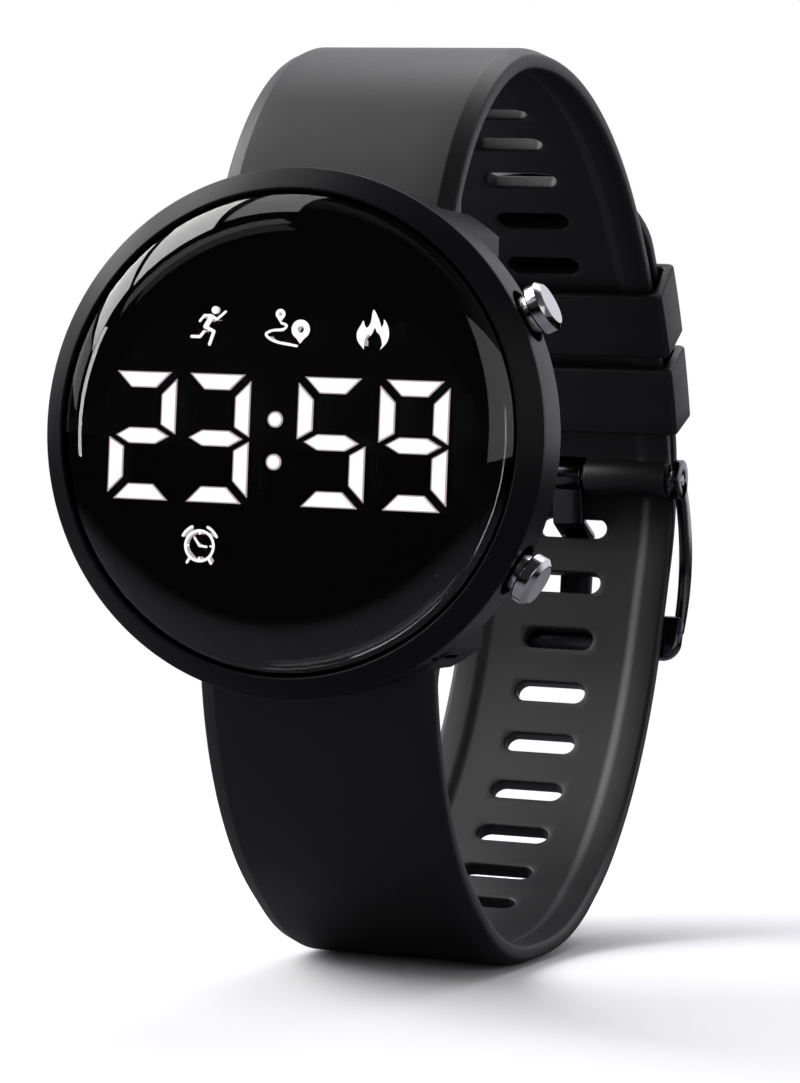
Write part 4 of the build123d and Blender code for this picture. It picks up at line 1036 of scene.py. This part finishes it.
class WATCH_OT_case(bpy.types.Operator):
    """Build the case with its four lugs, strap pockets and pusher pockets"""

    bl_idname = "watch.case"
    bl_label = "Case"

    def execute(self, context):
        case = context.scene.watch_case
        profile = [(MASK_SEAT, -SEAT_DEPTH), (case.radius - FRONT_EDGE, -SEAT_DEPTH)]
        profile += rounded([
            (case.radius, -SEAT_DEPTH - FRONT_EDGE), (case.radius, -case.barrel),
            (case.bowl, -case.depth), (BATTERY_ROOM, -case.depth),
        ], WALL_EDGE)
        profile += [
            (BATTERY_ROOM, -MODULE_FLOOR), (MODULE_ROOM, -MODULE_FLOOR),
            (MODULE_ROOM, -BOARD_FLOOR), (BOARD_ROOM, -BOARD_FLOOR),
            (BOARD_ROOM, -MASK_FLOOR), (MASK_SEAT, -MASK_FLOOR),
        ]
        bm = bmesh.new()
        lathe(bm, profile, LARGE_STEPS, DIAL)
        bm = boolean(bm, self.lugs(case), "UNION")
        bm = boolean(bm, self.pockets(case), "DIFFERENCE")
        bmesh.ops.remove_doubles(bm, verts=bm.verts, dist=WELD)
        make_object(
            "moulded_case", bm, finish_of("abs"), "watch", sharp=28.0,
            replaces=["case_body"],
        )
        return {"FINISHED"}

    def lugs(self, case):
        """The four lugs, trimmed to the case's round outline."""
        side = rounded([
            (LUG_ROOT, -LUG_FRONT), (case.radius + LUG_SPARE, -LUG_FRONT),
            (case.radius + LUG_SPARE, -case.lug_depth), (LUG_FOOT, -case.lug_depth),
            (LUG_HEEL, -case.depth), (LUG_ROOT, -case.barrel),
        ], LUG_EDGE, 3, closed=True)
        deep = -2 * case.depth
        lugs = []
        for x_side, up_side in ((1, 1), (1, -1), (-1, 1), (-1, -1)):
            lug, tube = bmesh.new(), bmesh.new()
            prism(
                lug, side, case.lug_inner, case.lug_outer,
                lambda point, x: dial_point(x_side * x, up_side * point[0], point[1]),
            )
            lathe(tube, [(0.0, 0.0), (case.radius, 0.0), (case.radius, deep), (0.0, deep)], LARGE_STEPS, DIAL)
            lugs.append(boolean(lug, [tube], "INTERSECT"))
        return lugs

    def pockets(self, case):
        """Cutters for the straps' knuckles, the way to them and the pushers."""
        cutters = []
        gap = case.lug_inner
        pocket = LUG_KNUCKLE * MM + case.pocket
        for side in (1, -1):
            bar_y, bar_z = DIAL_Y + case.bar_depth, DIAL_Z + side * case.bar_height
            far = DIAL_Z + side * POCKET_REACH
            ways = ((bar_y - pocket, bar_y + pocket, bar_z), (bar_y, bar_y + OVERRUN, bar_z - side * pocket))
            cutters.append(cross_cylinder(Vector((bar_y, bar_z)), pocket, gap))
            for front, back, near in ways:
                cutters.append(block((-gap, front, min(near, far)), (gap, back, max(near, far))))
            hole = bmesh.new()
            outline = [
                (0.0, case.pocket_floor), (case.pusher_pocket, case.pocket_floor),
                (case.pusher_pocket, case.radius + POCKET_SPARE), (0.0, case.radius + POCKET_SPARE),
            ]
            lathe(hole, rounded(outline, FRONT_EDGE), SMALL_STEPS, pusher_frame(side, case))
            cutters.append(hole)
        return cutters


class WATCH_OT_bezel(bpy.types.Operator):
    """Build the bevelled ring round the lens"""

    bl_idname = "watch.bezel"
    bl_label = "Bezel Ring"

    def execute(self, context):
        case = context.scene.watch_case
        profile = [(case.ring_seat, -SEAT_DEPTH), (case.ring_seat, case.ring_step)]
        profile += rounded([
            (case.ring_inner, case.ring_step), (case.ring_inner, case.ring_rise), (case.radius, 0.0),
            (case.radius, -SEAT_DEPTH),
        ], case.ring_edge, 5)
        bm = bmesh.new()
        lathe(bm, profile, LARGE_STEPS, DIAL)
        make_object(
            "bevelled_ring", bm, finish_of("abs"), "watch", replaces=["bezel_ring"]
        )
        return {"FINISHED"}


class WATCH_OT_lens(bpy.types.Operator):
    """Build the domed lens with its rounded shoulder"""

    bl_idname = "watch.lens"
    bl_label = "Domed Lens"

    def execute(self, context):
        case = context.scene.watch_case
        shoulder_steps, dome_steps = 32, 40
        crown_edge = case.lens_radius - case.lens_shoulder
        drop = case.lens_apex - case.lens_crown
        sphere = (crown_edge**2 + drop**2) / (2 * drop)
        slope = math.asin(crown_edge / sphere)
        flange_top = case.lens_back + case.flange_height
        profile = [
            (0.0, case.lens_back), (case.lens_flange, case.lens_back), (case.lens_flange, flange_top),
            (case.lens_radius, flange_top),
        ]
        start = Vector((case.lens_radius, case.lens_edge))
        end = Vector((crown_edge, case.lens_crown))
        rise = end.y - start.y - case.lens_shoulder * math.tan(slope)
        run = rise / (math.tan(case.lens_slope) - math.tan(slope))
        corner = start + Vector((-run, run * math.tan(case.lens_slope)))
        for step in range(shoulder_steps):
            t = step / shoulder_steps
            profile.append(tuple(start * (1 - t) ** 2 + corner * 2 * t * (1 - t) + end * t**2))
        for step in range(dome_steps):
            angle = slope * (1 - step / dome_steps)
            profile.append((sphere * math.sin(angle), case.lens_apex - sphere * (1 - math.cos(angle))))
        profile.append((0.0, case.lens_apex))
        bm = bmesh.new()
        lathe(bm, profile, LARGE_STEPS, DIAL)
        make_object(
            "domed_lens", bm, finish_of("acrylic"), "watch", sharp=40.0,
            replaces=["lens"],
        )
        return {"FINISHED"}


# Display


# Where the display's pieces lie, in mm: the digits' middles with their lit bars, the colon's middle
# with its dots' heights, and the pictograms' middles
DIGITS = ((-11.9, "abged"), (-5.7, "abgcd"), (3.86, "afgcd"), (10.5, "abcdfg"))
COLON = (-0.78, (1.07, -2.21))
ICON_PLACES = {"runner": (-6.8, 8.2), "route": (-0.2, 8.25), "flame": (6.9, 8.2), "alarm": (-6.7, -8.95)}

# The pictograms' points are shares of half their size. Strokes have their width in mm before them,
# and the route's pins have their radius in mm and the drop of their tip in radii after them
RUNNER_HEAD = ((0.41, 0.73), 0.3)
RUNNER = (
    (0.4, ((0.22, 0.38), (-0.05, -0.08))),
    (0.26, ((-0.04, -0.1), (0.39, -0.31), (0.19, -0.93))),
    (0.24, ((-0.13, -0.33), (-0.33, -0.58), (-0.76, -0.58))),
    (0.2, ((-0.37, 0.18), (-0.14, 0.46), (0.22, 0.46), (0.52, 0.28), (0.96, 0.66))),
)
ROUTE = (0.2, (
    (-0.24, 0.16), (0.02, 0.05), (-0.14, -0.14), (-0.72, -0.22), (-1.01, -0.43), (-0.51, -0.74),
    (0.59, -0.92),
))
PINS = (((0.76, -0.12), 0.76, 1.45), ((-0.31, 0.59), 0.4, 1.7))
PIN_CHEEKS = ((-0.93, -0.3), (-0.6, -0.6), (0.6, -0.6), (0.93, -0.3))
FLAME_OUTSIDE = (
    (-0.42, -0.95), (-0.75, -0.55), (-0.8, -0.15), (-0.62, 0.2), (-0.5, 0.42), (-0.42, 0.2),
    (-0.3, 0.08), (-0.12, 0.35), (-0.02, 0.95), (0.22, 0.62), (0.36, 0.3), (0.42, 0.12),
    (0.52, 0.28), (0.55, 0.5), (0.74, 0.2), (0.82, -0.2), (0.72, -0.6), (0.4, -0.95),
)
FLAME_INSIDE = (
    (0.5, -0.7), (0.44, -0.45), (0.34, -0.22), (0.2, -0.1), (0.1, 0.12), (0.0, -0.12), (-0.12, -0.3),
    (-0.22, -0.22), (-0.4, -0.5), (-0.42, -0.95),
)


def glow_prisms(name, outlines, sizes, rim, node):
    """Light bars: prisms with a duller rim round a bright middle."""
    bm = bmesh.new()
    glow = bm.loops.layers.color.new("Glow")

    def tint(faces, bright):
        for loop in [loop for face in faces for loop in face.loops]:
            loop[glow] = (bright, bright, bright, 1.0)

    low = sizes.face - sizes.bar_depth
    for outline in outlines:
        faces = prism(bm, outline, low, sizes.face, lambda point, z: dial_point(point[0], point[1], z))
        tint(faces, 0.1)
        front = faces[1]
        for bright in (0.8, 0.1) if rim else ():
            inset = bmesh.ops.inset_individual(bm, faces=[front], thickness=rim, use_even_offset=True)
            tint(inset["faces"], bright)
        tint([front], 1.0)
    make_object(name, bm, finish_of("diffuser"), "watch", replaces=[node])


def digit_outlines(sizes, centre, letters):
    """Outlines of a digit's lit bars, mitred where they meet."""
    wide, tall = sizes.digit_width / 2, sizes.digit_height / 2
    stroke, mitre = sizes.stroke, sizes.mitre
    top_bar = [
        (mitre - wide, tall), (wide - mitre, tall), (wide - mitre - stroke, tall - stroke),
        (mitre + stroke - wide, tall - stroke),
    ]
    side_bar = [
        (wide, tall - mitre), (wide, sizes.side_low), (wide - stroke, sizes.side_low + sizes.side_slope),
        (wide - stroke, tall - mitre - stroke),
    ]
    half, tip = stroke / 2, wide - sizes.middle_inset
    flat = tip - sizes.middle_tip
    middle_bar = [(-tip, 0.0), (-flat, half), (flat, half), (tip, 0.0), (flat, -half), (-flat, -half)]
    shapes = {
        "a": (top_bar, 1, 1), "b": (side_bar, 1, 1), "c": (side_bar, 1, -1), "d": (top_bar, 1, -1),
        "e": (side_bar, -1, -1), "f": (side_bar, -1, 1), "g": (middle_bar, 1, 1),
    }
    outlines = []
    for letter in letters:
        points, x_side, y_side = shapes[letter]
        outlines.append([(centre + x_side * x, sizes.middle + y_side * y) for x, y in points])
    return outlines


def disc_outline(centre, radius, steps=32):
    """A round outline."""
    return [(centre[0] + radius * math.cos(a), centre[1] + radius * math.sin(a)) for a in round_turn(steps)]


def line_outlines(points, width):
    """Round-ended strokes through points."""
    half = width / 2
    outlines = []
    for start, end in zip(points, points[1:]):
        along = math.atan2(end[1] - start[1], end[0] - start[0])
        outline = []
        for spot, first in ((end, along - math.pi / 2), (start, along + math.pi / 2)):
            for turned in (first + math.pi * step / 8 for step in range(9)):
                outline.append((spot[0] + half * math.cos(turned), spot[1] + half * math.sin(turned)))
        outlines.append(outline)
    return outlines


def curve_points(points, closed=False, steps=6):
    """A smooth curve through points."""
    out = []
    count = len(points)
    last = count if closed else count - 1
    for index in range(last):
        around = []
        for offset in (-1, 0, 1, 2):
            at = index + offset
            around.append(Vector(points[at % count] if closed else points[min(max(at, 0), count - 1)]))
        p0, p1, p2, p3 = around
        for step in range(steps):
            t = step / steps
            point = 0.5 * (
                2 * p1 + (p2 - p0) * t + (2 * p0 - 5 * p1 + 4 * p2 - p3) * t * t
                + (3 * p1 - p0 - 3 * p2 + p3) * t**3
            )
            out.append(tuple(point))
    if not closed:
        out.append(tuple(points[-1]))
    return out


def ring_outlines(centre, radius, width, steps=40):
    """A round line as short strokes."""
    points = disc_outline(centre, radius, steps)
    return line_outlines(points + points[:1], width)


def icon_points(sizes, name, shares):
    """Points of a pictogram from shares of half its size."""
    centre = Vector(ICON_PLACES[name]) * MM
    return [tuple(centre + Vector(share) * sizes.icon / 2) for share in shares]


class WATCH_OT_display(bpy.types.Operator):
    """Build the lit digits, the colon and the four pictograms behind the lens"""

    bl_idname = "watch.display"
    bl_label = "Display"

    def execute(self, context):
        sizes = context.scene.watch_display
        outlines = []
        for centre, letters in DIGITS:
            outlines += digit_outlines(sizes, centre * MM, letters)
        glow_prisms("lit_digits", outlines, sizes, sizes.rim, "lit_segments")
        dots = [disc_outline((COLON[0] * MM, height * MM), sizes.colon_radius) for height in COLON[1]]
        glow_prisms("lit_colon", dots, sizes, sizes.colon_rim, "colon_dots")
        icons = self.runner(sizes) + self.route(sizes) + self.flame(sizes) + self.alarm(sizes)
        glow_prisms("lit_pictograms", icons, sizes, 0.0, "display_icons")
        return {"FINISHED"}

    def runner(self, sizes):
        """A running figure."""
        spot, radius = RUNNER_HEAD
        shapes = [disc_outline(icon_points(sizes, "runner", [spot])[0], radius * MM)]
        for width, shares in RUNNER:
            shapes += line_outlines(icon_points(sizes, "runner", shares), width * MM)
        return shapes

    def route(self, sizes):
        """A winding way between two pins."""
        width, shares = ROUTE
        shapes = line_outlines(curve_points(icon_points(sizes, "route", shares)), width * MM)
        for spot, size, drop in PINS:
            radius = size * MM
            middle = icon_points(sizes, "route", [spot])[0]
            shapes += ring_outlines(middle, radius * 0.67, radius * 0.64, 28)
            tail = (*PIN_CHEEKS, (0.0, -drop))
            shapes.append([(middle[0] + x * radius, middle[1] + y * radius) for x, y in tail])
        return shapes

    def flame(self, sizes):
        """A flame with a smaller one inside."""
        outside = curve_points(icon_points(sizes, "flame", FLAME_OUTSIDE))
        inside = curve_points(icon_points(sizes, "flame", FLAME_INSIDE))
        return [outside + inside[:-1]]

    def alarm(self, sizes):
        """An alarm clock, drawn in shares of its radius."""
        centre = Vector(ICON_PLACES["alarm"]) * MM
        line = sizes.icon_line

        def at(x, y):
            return tuple(centre + Vector((x, y)) * sizes.clock_radius)

        def toward(degrees, far):
            return at(far * math.cos(math.radians(degrees)), far * math.sin(math.radians(degrees)))

        shapes = ring_outlines(tuple(centre), sizes.clock_radius, line)
        shapes += line_outlines([at(-0.36, 0.52), at(0.0, 0.0), at(0.5, -0.04)], line * 0.85)
        for angle in (0, 90, 180, 270):
            shapes += line_outlines([toward(angle, 0.98), toward(angle, 0.78)], line * 0.7)
        for side, bell in ((1, (28, 38, 48, 58, 66)), (-1, (152, 142, 132, 122, 114))):
            shapes += line_outlines([toward(angle, 1.36) for angle in bell], line)
            shapes += line_outlines([at(side * 0.66, -0.82), at(side * 0.86, -1.12)], line)
        return shapes


# Pushers


class WATCH_OT_pushers(bpy.types.Operator):
    """Build the two polished pushers"""

    bl_idname = "watch.pushers"
    bl_label = "Pushers"

    def execute(self, context):
        case = context.scene.watch_case
        shaft, head, reach = case.pusher_shaft, case.pusher_head, case.pusher_reach
        neck_top = reach - case.head_height
        neck_base = neck_top - case.neck_height
        groove_low, groove_high = (case.groove + side * case.groove_width / 2 for side in (-1, 1))
        profile = [
            (0.0, case.pusher_end), (shaft, case.pusher_end), (shaft, groove_low),
            (case.groove_radius, groove_low), (case.groove_radius, groove_high), (shaft, groove_high),
            (shaft, neck_base), (case.pusher_neck, neck_base), (case.pusher_neck, neck_top),
        ]
        profile += rounded([
            (head - case.head_foot, neck_top), (head, neck_top + 1.2 * case.head_foot),
            (head, reach - case.head_facet - case.head_swell),
            (head - case.head_facet, reach - case.head_swell), (head - case.head_face, reach), (0.0, reach),
        ], case.head_edge, 3)
        for side, body, node in ((1, "upper_button", "upper_pusher"), (-1, "lower_button", "lower_pusher")):
            bm = bmesh.new()
            lathe(bm, profile, MIDDLE_STEPS, pusher_frame(side, case))
            make_object(
                "polished_" + node, bm, finish_of("chrome"), body, sharp=30.0,
                replaces=[node],
            )
        return {"FINISHED"}


# Buckle


def cross_bar_corners(buckle, path, in_use):
    """Corners of the cross bar in the side view: upper inner, upper outer, lower outer, lower inner."""
    middle = in_use - buckle.cross_from_slot
    high = middle + buckle.cross_height / 2
    low = middle - buckle.cross_height / 2
    near = buckle.cross_gap
    far = near + buckle.cross_thickness
    return [path.off(high, near), path.off(high, far), path.off(low, far), path.off(low, near)]


def side_view(point, x):
    """A point of the side view at a distance across."""
    return Vector((x, point[0], point[1]))


class WATCH_OT_buckle(bpy.types.Operator):
    """Build the buckle's bowed frame and its tongue"""

    bl_idname = "watch.buckle"
    bl_label = "Buckle"

    def execute(self, context):
        buckle = context.scene.watch_buckle
        strap = context.scene.watch_strap
        paths = loop_paths(strap)
        path, bar = paths["long"], paths["buckle bar"]
        in_use = path.nearest(bar) - strap.slot_from_bar
        corners = cross_bar_corners(buckle, path, in_use)
        self.frame(buckle, bar, corners)
        self.tongue(buckle, strap, path, bar, in_use)
        return {"FINISHED"}

    def frame(self, buckle, bar, corners):
        """Two bowed arms, their eyes and the cross bar with its round lower corners."""
        high_near, high_far, low_far, low_near = corners
        bm = bmesh.new()
        wide, tall = buckle.arm_outer, buckle.cross_height
        outline = rounded([(-wide, tall), (-wide, 0.0), (wide, 0.0), (wide, tall)], buckle.cross_corner, 8)

        def on_cross_bar(point, through):
            up = point[1] / tall
            return side_view(low_near.lerp(high_near, up).lerp(low_far.lerp(high_far, up), through), point[0])

        bevelled_prism(bm, outline, 0.0, 1.0, on_cross_bar, buckle.cross_edge)
        above, below = high_near.lerp(high_far, 0.5), low_near.lerp(low_far, 0.5)
        end = above.lerp(below, 0.4)  # the arms end inside the cross bar
        back_edge, front_edge = [], []
        for share in (step / 16 for step in range(17)):
            middle = bar.lerp(end, share) + Vector((4 * buckle.bow * share * (1 - share), 0.0))
            half = buckle.arm_depth / 2 + (buckle.cross_thickness - buckle.arm_depth) / 2 * share**2
            back_edge.append((middle.x + half, middle.y))
            front_edge.append((middle.x - half, middle.y))
        floor = buckle.arm_outer - buckle.eye_hole_depth
        eye = rounded([
            (0.0, buckle.arm_inner), (buckle.eye, buckle.arm_inner), (buckle.eye, buckle.arm_outer),
            (buckle.eye_hole, buckle.arm_outer), (buckle.eye_hole, floor), (0.0, floor),
        ], buckle.arm_edge, 3)
        for side in (1, -1):
            low, high = sorted((side * buckle.arm_inner, side * buckle.arm_outer))
            bevelled_prism(bm, back_edge + front_edge[::-1], low, high, side_view, buckle.arm_edge)
            lathe(bm, [(radius, side * across) for radius, across in eye], SMALL_STEPS, across_at(bar))
        make_object(
            "bowed_frame", bm, finish_of("black metal"), "buckle", sharp=40.0,
            replaces=["buckle_frame"],
        )

    def tongue(self, buckle, strap, path, bar, in_use):
        """A bent pin from the bar through the slot onto the cross bar."""
        thick = buckle.tongue_thickness
        steep = buckle.tongue_steepness

        def crossing(height, side):
            lean = (height + strap.thickness / 2) / math.tan(steep)
            return side * thick / (2 * math.sin(steep)) - lean

        near = -buckle.cross_from_slot + buckle.cross_height / 2
        far = -buckle.cross_from_slot - buckle.cross_height / 2
        rest = buckle.cross_gap + buckle.cross_thickness + buckle.tongue_rise
        inside = -strap.thickness - buckle.tongue_gap
        barrel = -strap.thickness - strap.layer_gap - strap.buckle_knuckle
        low = buckle.tongue_gap
        edge = [
            (strap.slot_from_bar, barrel - thick / 2), (crossing(inside - thick, -1), inside - thick),
            (crossing(low, -1), low), (near + thick / 2, rest), (far + thick / 2, rest),
            (far, rest + thick / 2), (far + thick / 2, rest + thick), (near + thick / 2, rest + thick),
            (crossing(low + thick, 1), low + thick), (crossing(inside, 1), inside),
            (strap.slot_from_bar - thick, barrel + thick),
        ]
        outline = [tuple(path.off(in_use + along, height)) for along, height in edge]
        outline = rounded(outline, buckle.tongue_bend, closed=True)
        bm = bmesh.new()
        half = buckle.tongue_width / 2
        bevelled_prism(bm, outline, -half, half, side_view, buckle.tongue_edge)
        barrel_ring = disc_outline(bar, buckle.tongue_barrel, 40)
        bevelled_prism(bm, barrel_ring, -half, half, side_view, buckle.barrel_edge)
        make_object(
            "bent_tongue", bm, finish_of("black metal"), "tongue", sharp=40.0,
            replaces=["buckle_tongue"],
        )


# Pieces kept from the part


KEPT = {
    "case_back": "back", "case_back_screws": "steel", "display_mask": "print", "dark_segments": "print",
    "lens_gasket": "silicone", "case_back_gasket": "silicone", "leds": "board", "led_board": "board",
    "main_board": "board", "module_frame": "abs", "controller_chip": "abs", "crystal_can": "steel",
    "motion_sensor": "abs", "battery_contact": "steel", "battery_cell": "steel", "battery_clip": "steel",
    "sounder_disc": "steel", "upper_pusher_spring": "steel", "lower_pusher_spring": "steel",
    "upper_pusher_seal": "silicone", "lower_pusher_seal": "silicone", "upper_pusher_clip": "steel",
    "lower_pusher_clip": "steel", "upper_switch_contact": "steel", "lower_switch_contact": "steel",
    "upper_lug_bar": "steel", "lower_lug_bar": "steel", "buckle_bar": "steel",
}


class WATCH_OT_small_parts(bpy.types.Operator):
    """Give the back, the bars and the inner parts their finishes"""

    bl_idname = "watch.small_parts"
    bl_label = "Back and Inner Parts"

    def execute(self, context):
        for name, finish in KEPT.items():
            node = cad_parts[name]
            node.data.materials.clear()
            node.data.materials.append(finish_of(finish))
        return {"FINISHED"}


# Stage


def area_lamp(name, place, across, up, size, brightness):
    """A soft rectangular lamp with its sides along two directions, of a given brightness."""
    lamp = bpy.data.lights.new(name, "AREA")
    lamp.shape = "RECTANGLE"
    lamp.size, lamp.size_y = size
    lamp.energy = brightness * math.pi * size[0] * size[1]
    obj = bpy.data.objects.new(name, lamp)
    bpy.context.scene.collection.objects.link(obj)
    out = across.cross(up).normalized()
    axes = Matrix((across.normalized(), out.cross(across).normalized(), out)).transposed()
    obj.matrix_world = Matrix.Translation(place) @ axes.to_4x4()
    obj.visible_camera = False


class WATCH_OT_stage(bpy.types.Operator):
    """Set up the floor, the white surround, the lamps and the camera"""

    bl_idname = "watch.stage"
    bl_label = "Stage"

    def execute(self, context):
        stage = context.scene.watch_stage
        context.scene.view_settings.view_transform = "Standard"
        self.floor(stage)
        self.surround(context.scene, stage)
        self.lamps(stage)
        self.camera(context.scene, stage)
        return {"FINISHED"}

    def view_axes(self, stage):
        """Right, up and back of the level camera."""
        a, e = stage.azimuth, stage.elevation
        back = Vector((math.sin(a) * math.cos(e), -math.cos(a) * math.cos(e), math.sin(e)))
        right = Vector((math.cos(a), math.sin(a), 0.0))
        return right, back.cross(right), back

    def floor(self, stage):
        """White paper that melts into the white surround further off, and takes the shadow."""
        material = new_material("White paper floor")
        ray = add_node(material, "ShaderNodeLightPath")
        shown = add_node(
            material, "ShaderNodeMix",
            {
                "Factor": ray.outputs["Is Camera Ray"],
                "A": linear(stage.floor_bounce),
                "B": linear(stage.floor_colour),
            },
            data_type="RGBA",
        )
        paper = add_node(material, "ShaderNodeBsdfDiffuse", {"Color": shown.outputs["Result"]})
        white = add_node(material, "ShaderNodeEmission", {"Strength": ray.outputs["Is Camera Ray"]})
        place = add_node(material, "ShaderNodeTexCoord")
        reach = add_node(
            material, "ShaderNodeVectorMath", {0: place.outputs["Object"]}, operation="LENGTH"
        )
        far = add_node(
            material, "ShaderNodeMapRange",
            {"Value": reach.outputs["Value"], "From Min": stage.melt_from, "From Max": stage.melt_to},
            interpolation_type="SMOOTHSTEP",
        )
        mixed = add_node(
            material, "ShaderNodeMixShader",
            {0: far.outputs["Result"], 1: paper.outputs[0], 2: white.outputs[0]},
        )
        surface(material, mixed)
        bm = bmesh.new()
        half_x, half_y = stage.floor[0] / 2, stage.floor[1] / 2
        corners = [(-half_x, -half_y), (half_x, -half_y), (half_x, half_y), (-half_x, half_y)]
        bm.faces.new([bm.verts.new((x, y, 0.0)) for x, y in corners])
        floor = make_object("floor", bm, material, None)

    def surround(self, scene, stage):
        """White to the camera; to other rays a bright backdrop behind and a dark room in front."""
        world = bpy.data.worlds.new("White surround")
        world.use_nodes = True
        world.node_tree.nodes.clear()
        ray = add_node(world, "ShaderNodeLightPath")
        place = add_node(world, "ShaderNodeTexCoord")
        parts = add_node(world, "ShaderNodeSeparateXYZ", {"Vector": place.outputs["Generated"]})
        behind = add_node(
            world, "ShaderNodeMapRange",
            {
                "Value": parts.outputs["Y"], "From Min": 0.0, "From Max": 0.6,
                "To Min": stage.room, "To Max": stage.backdrop,
            },
            interpolation_type="SMOOTHSTEP",
        )
        side = add_node(
            world, "ShaderNodeMapRange",
            {
                "Value": parts.outputs["X"], "From Min": 0.2, "From Max": 1.0,
                "To Min": 0.0, "To Max": stage.side,
            },
            interpolation_type="SMOOTHSTEP",
        )
        both = add_node(
            world, "ShaderNodeMath", {0: behind.outputs["Result"], 1: side.outputs["Result"]}, operation="ADD"
        )
        colour = linear(stage.room_tint)
        dim = add_node(world, "ShaderNodeBackground", {"Color": colour, "Strength": both.outputs[0]})
        white = add_node(world, "ShaderNodeBackground", {"Color": linear("#ffffff"), "Strength": 1.0})
        mixed = add_node(
            world, "ShaderNodeMixShader",
            {0: ray.outputs["Is Camera Ray"], 1: dim.outputs[0], 2: white.outputs[0]},
        )
        add_node(world, "ShaderNodeOutputWorld", {"Surface": mixed.outputs[0]})
        scene.world = world

    def lamps(self, stage):
        """A soft box above and behind, a window at the upper left and a dim panel at the right."""
        area_lamp(
            "lamp_above", Vector((0.0, stage.box_behind, stage.box_height)), Vector((1.0, 0.0, 0.0)),
            Vector((0.0, 1.0, 0.0)), stage.box_size, stage.box_brightness,
        )
        view = self.view_axes(stage)[2]

        def mirrored(around, lean):
            normal = Vector((
                math.cos(around) * math.sin(lean), -math.cos(lean), math.sin(around) * math.sin(lean)
            ))
            return normal * 2 * normal.dot(view) - view

        reach = stage.window_distance
        for name, (first, last, low, high, brightness) in MIRRORED_LAMPS.items():
            first, last, low, high = (math.radians(angle) for angle in (first, last, low, high))
            middle = (low + high) / 2
            half_way = (first + last) / 2
            across = (mirrored(last, middle) - mirrored(first, middle)) * reach
            up = (mirrored(half_way, high) - mirrored(half_way, low)) * reach
            out = mirrored(half_way, middle)
            if across.cross(up).dot(out) < 0:
                across = -across
            area_lamp(
                name, dial_point(0, 0, 0) + out * reach, across, up,
                (across.length, up.length), brightness,
            )

    def camera(self, scene, stage):
        """The photograph's point of view."""
        data = bpy.data.cameras.new("Camera")
        data.sensor_width = 36.0
        data.lens = stage.focal / MM
        data.clip_start = 0.01
        data.clip_end = 20.0
        camera = bpy.data.objects.new("Camera", data)
        scene.collection.objects.link(camera)
        r = stage.roll
        right, up, back = self.view_axes(stage)
        tilted_right = right * math.cos(r) + up * math.sin(r)
        tilted_up = up * math.cos(r) - right * math.sin(r)
        place = dial_point(0, 0, 0) + back * stage.distance + right * stage.shift_right + up * stage.shift_up
        camera.matrix_world = Matrix((
            (tilted_right.x, tilted_up.x, back.x, place.x),
            (tilted_right.y, tilted_up.y, back.y, place.y),
            (tilted_right.z, tilted_up.z, back.z, place.z),
            (0.0, 0.0, 0.0, 1.0),
        ))
        scene.camera = camera


OPERATORS = (
    WATCH_OT_short_strap,
    WATCH_OT_long_strap,
    WATCH_OT_keepers,
    WATCH_OT_case,
    WATCH_OT_bezel,
    WATCH_OT_lens,
    WATCH_OT_display,
    WATCH_OT_pushers,
    WATCH_OT_buckle,
    WATCH_OT_small_parts,
    WATCH_OT_stage,
)


class WATCH_PT_builder(bpy.types.Panel):
    """Lists the watch's pieces and their sizes"""

    bl_idname = "WATCH_PT_builder"
    bl_label = "Round Digital Watch"
    bl_space_type = "VIEW_3D"
    bl_region_type = "UI"
    bl_category = "Watch"

    def draw(self, context):
        for operator in OPERATORS:
            self.layout.operator(operator.bl_idname)
        for name, group in GROUPS.items():
            box = self.layout.box()
            values = getattr(context.scene, name)
            box.label(text=group.__doc__)
            for key in group.__annotations__:
                box.prop(values, key)


def register():
    for group in GROUPS.values():
        bpy.utils.register_class(group)
    for name, group in GROUPS.items():
        setattr(bpy.types.Scene, name, PointerProperty(type=group))
    for operator in OPERATORS:
        bpy.utils.register_class(operator)
    bpy.utils.register_class(WATCH_PT_builder)


def unregister():
    bpy.utils.unregister_class(WATCH_PT_builder)
    for operator in reversed(OPERATORS):
        bpy.utils.unregister_class(operator)
    for name in GROUPS:
        delattr(bpy.types.Scene, name)
    for group in reversed(list(GROUPS.values())):
        bpy.utils.unregister_class(group)


def main():
    """Builds every piece in turn."""
    register()
    for operator in OPERATORS:
        module, name = operator.bl_idname.split(".")
        getattr(getattr(bpy.ops, module), name)()


if __name__ == "__main__":
    main()
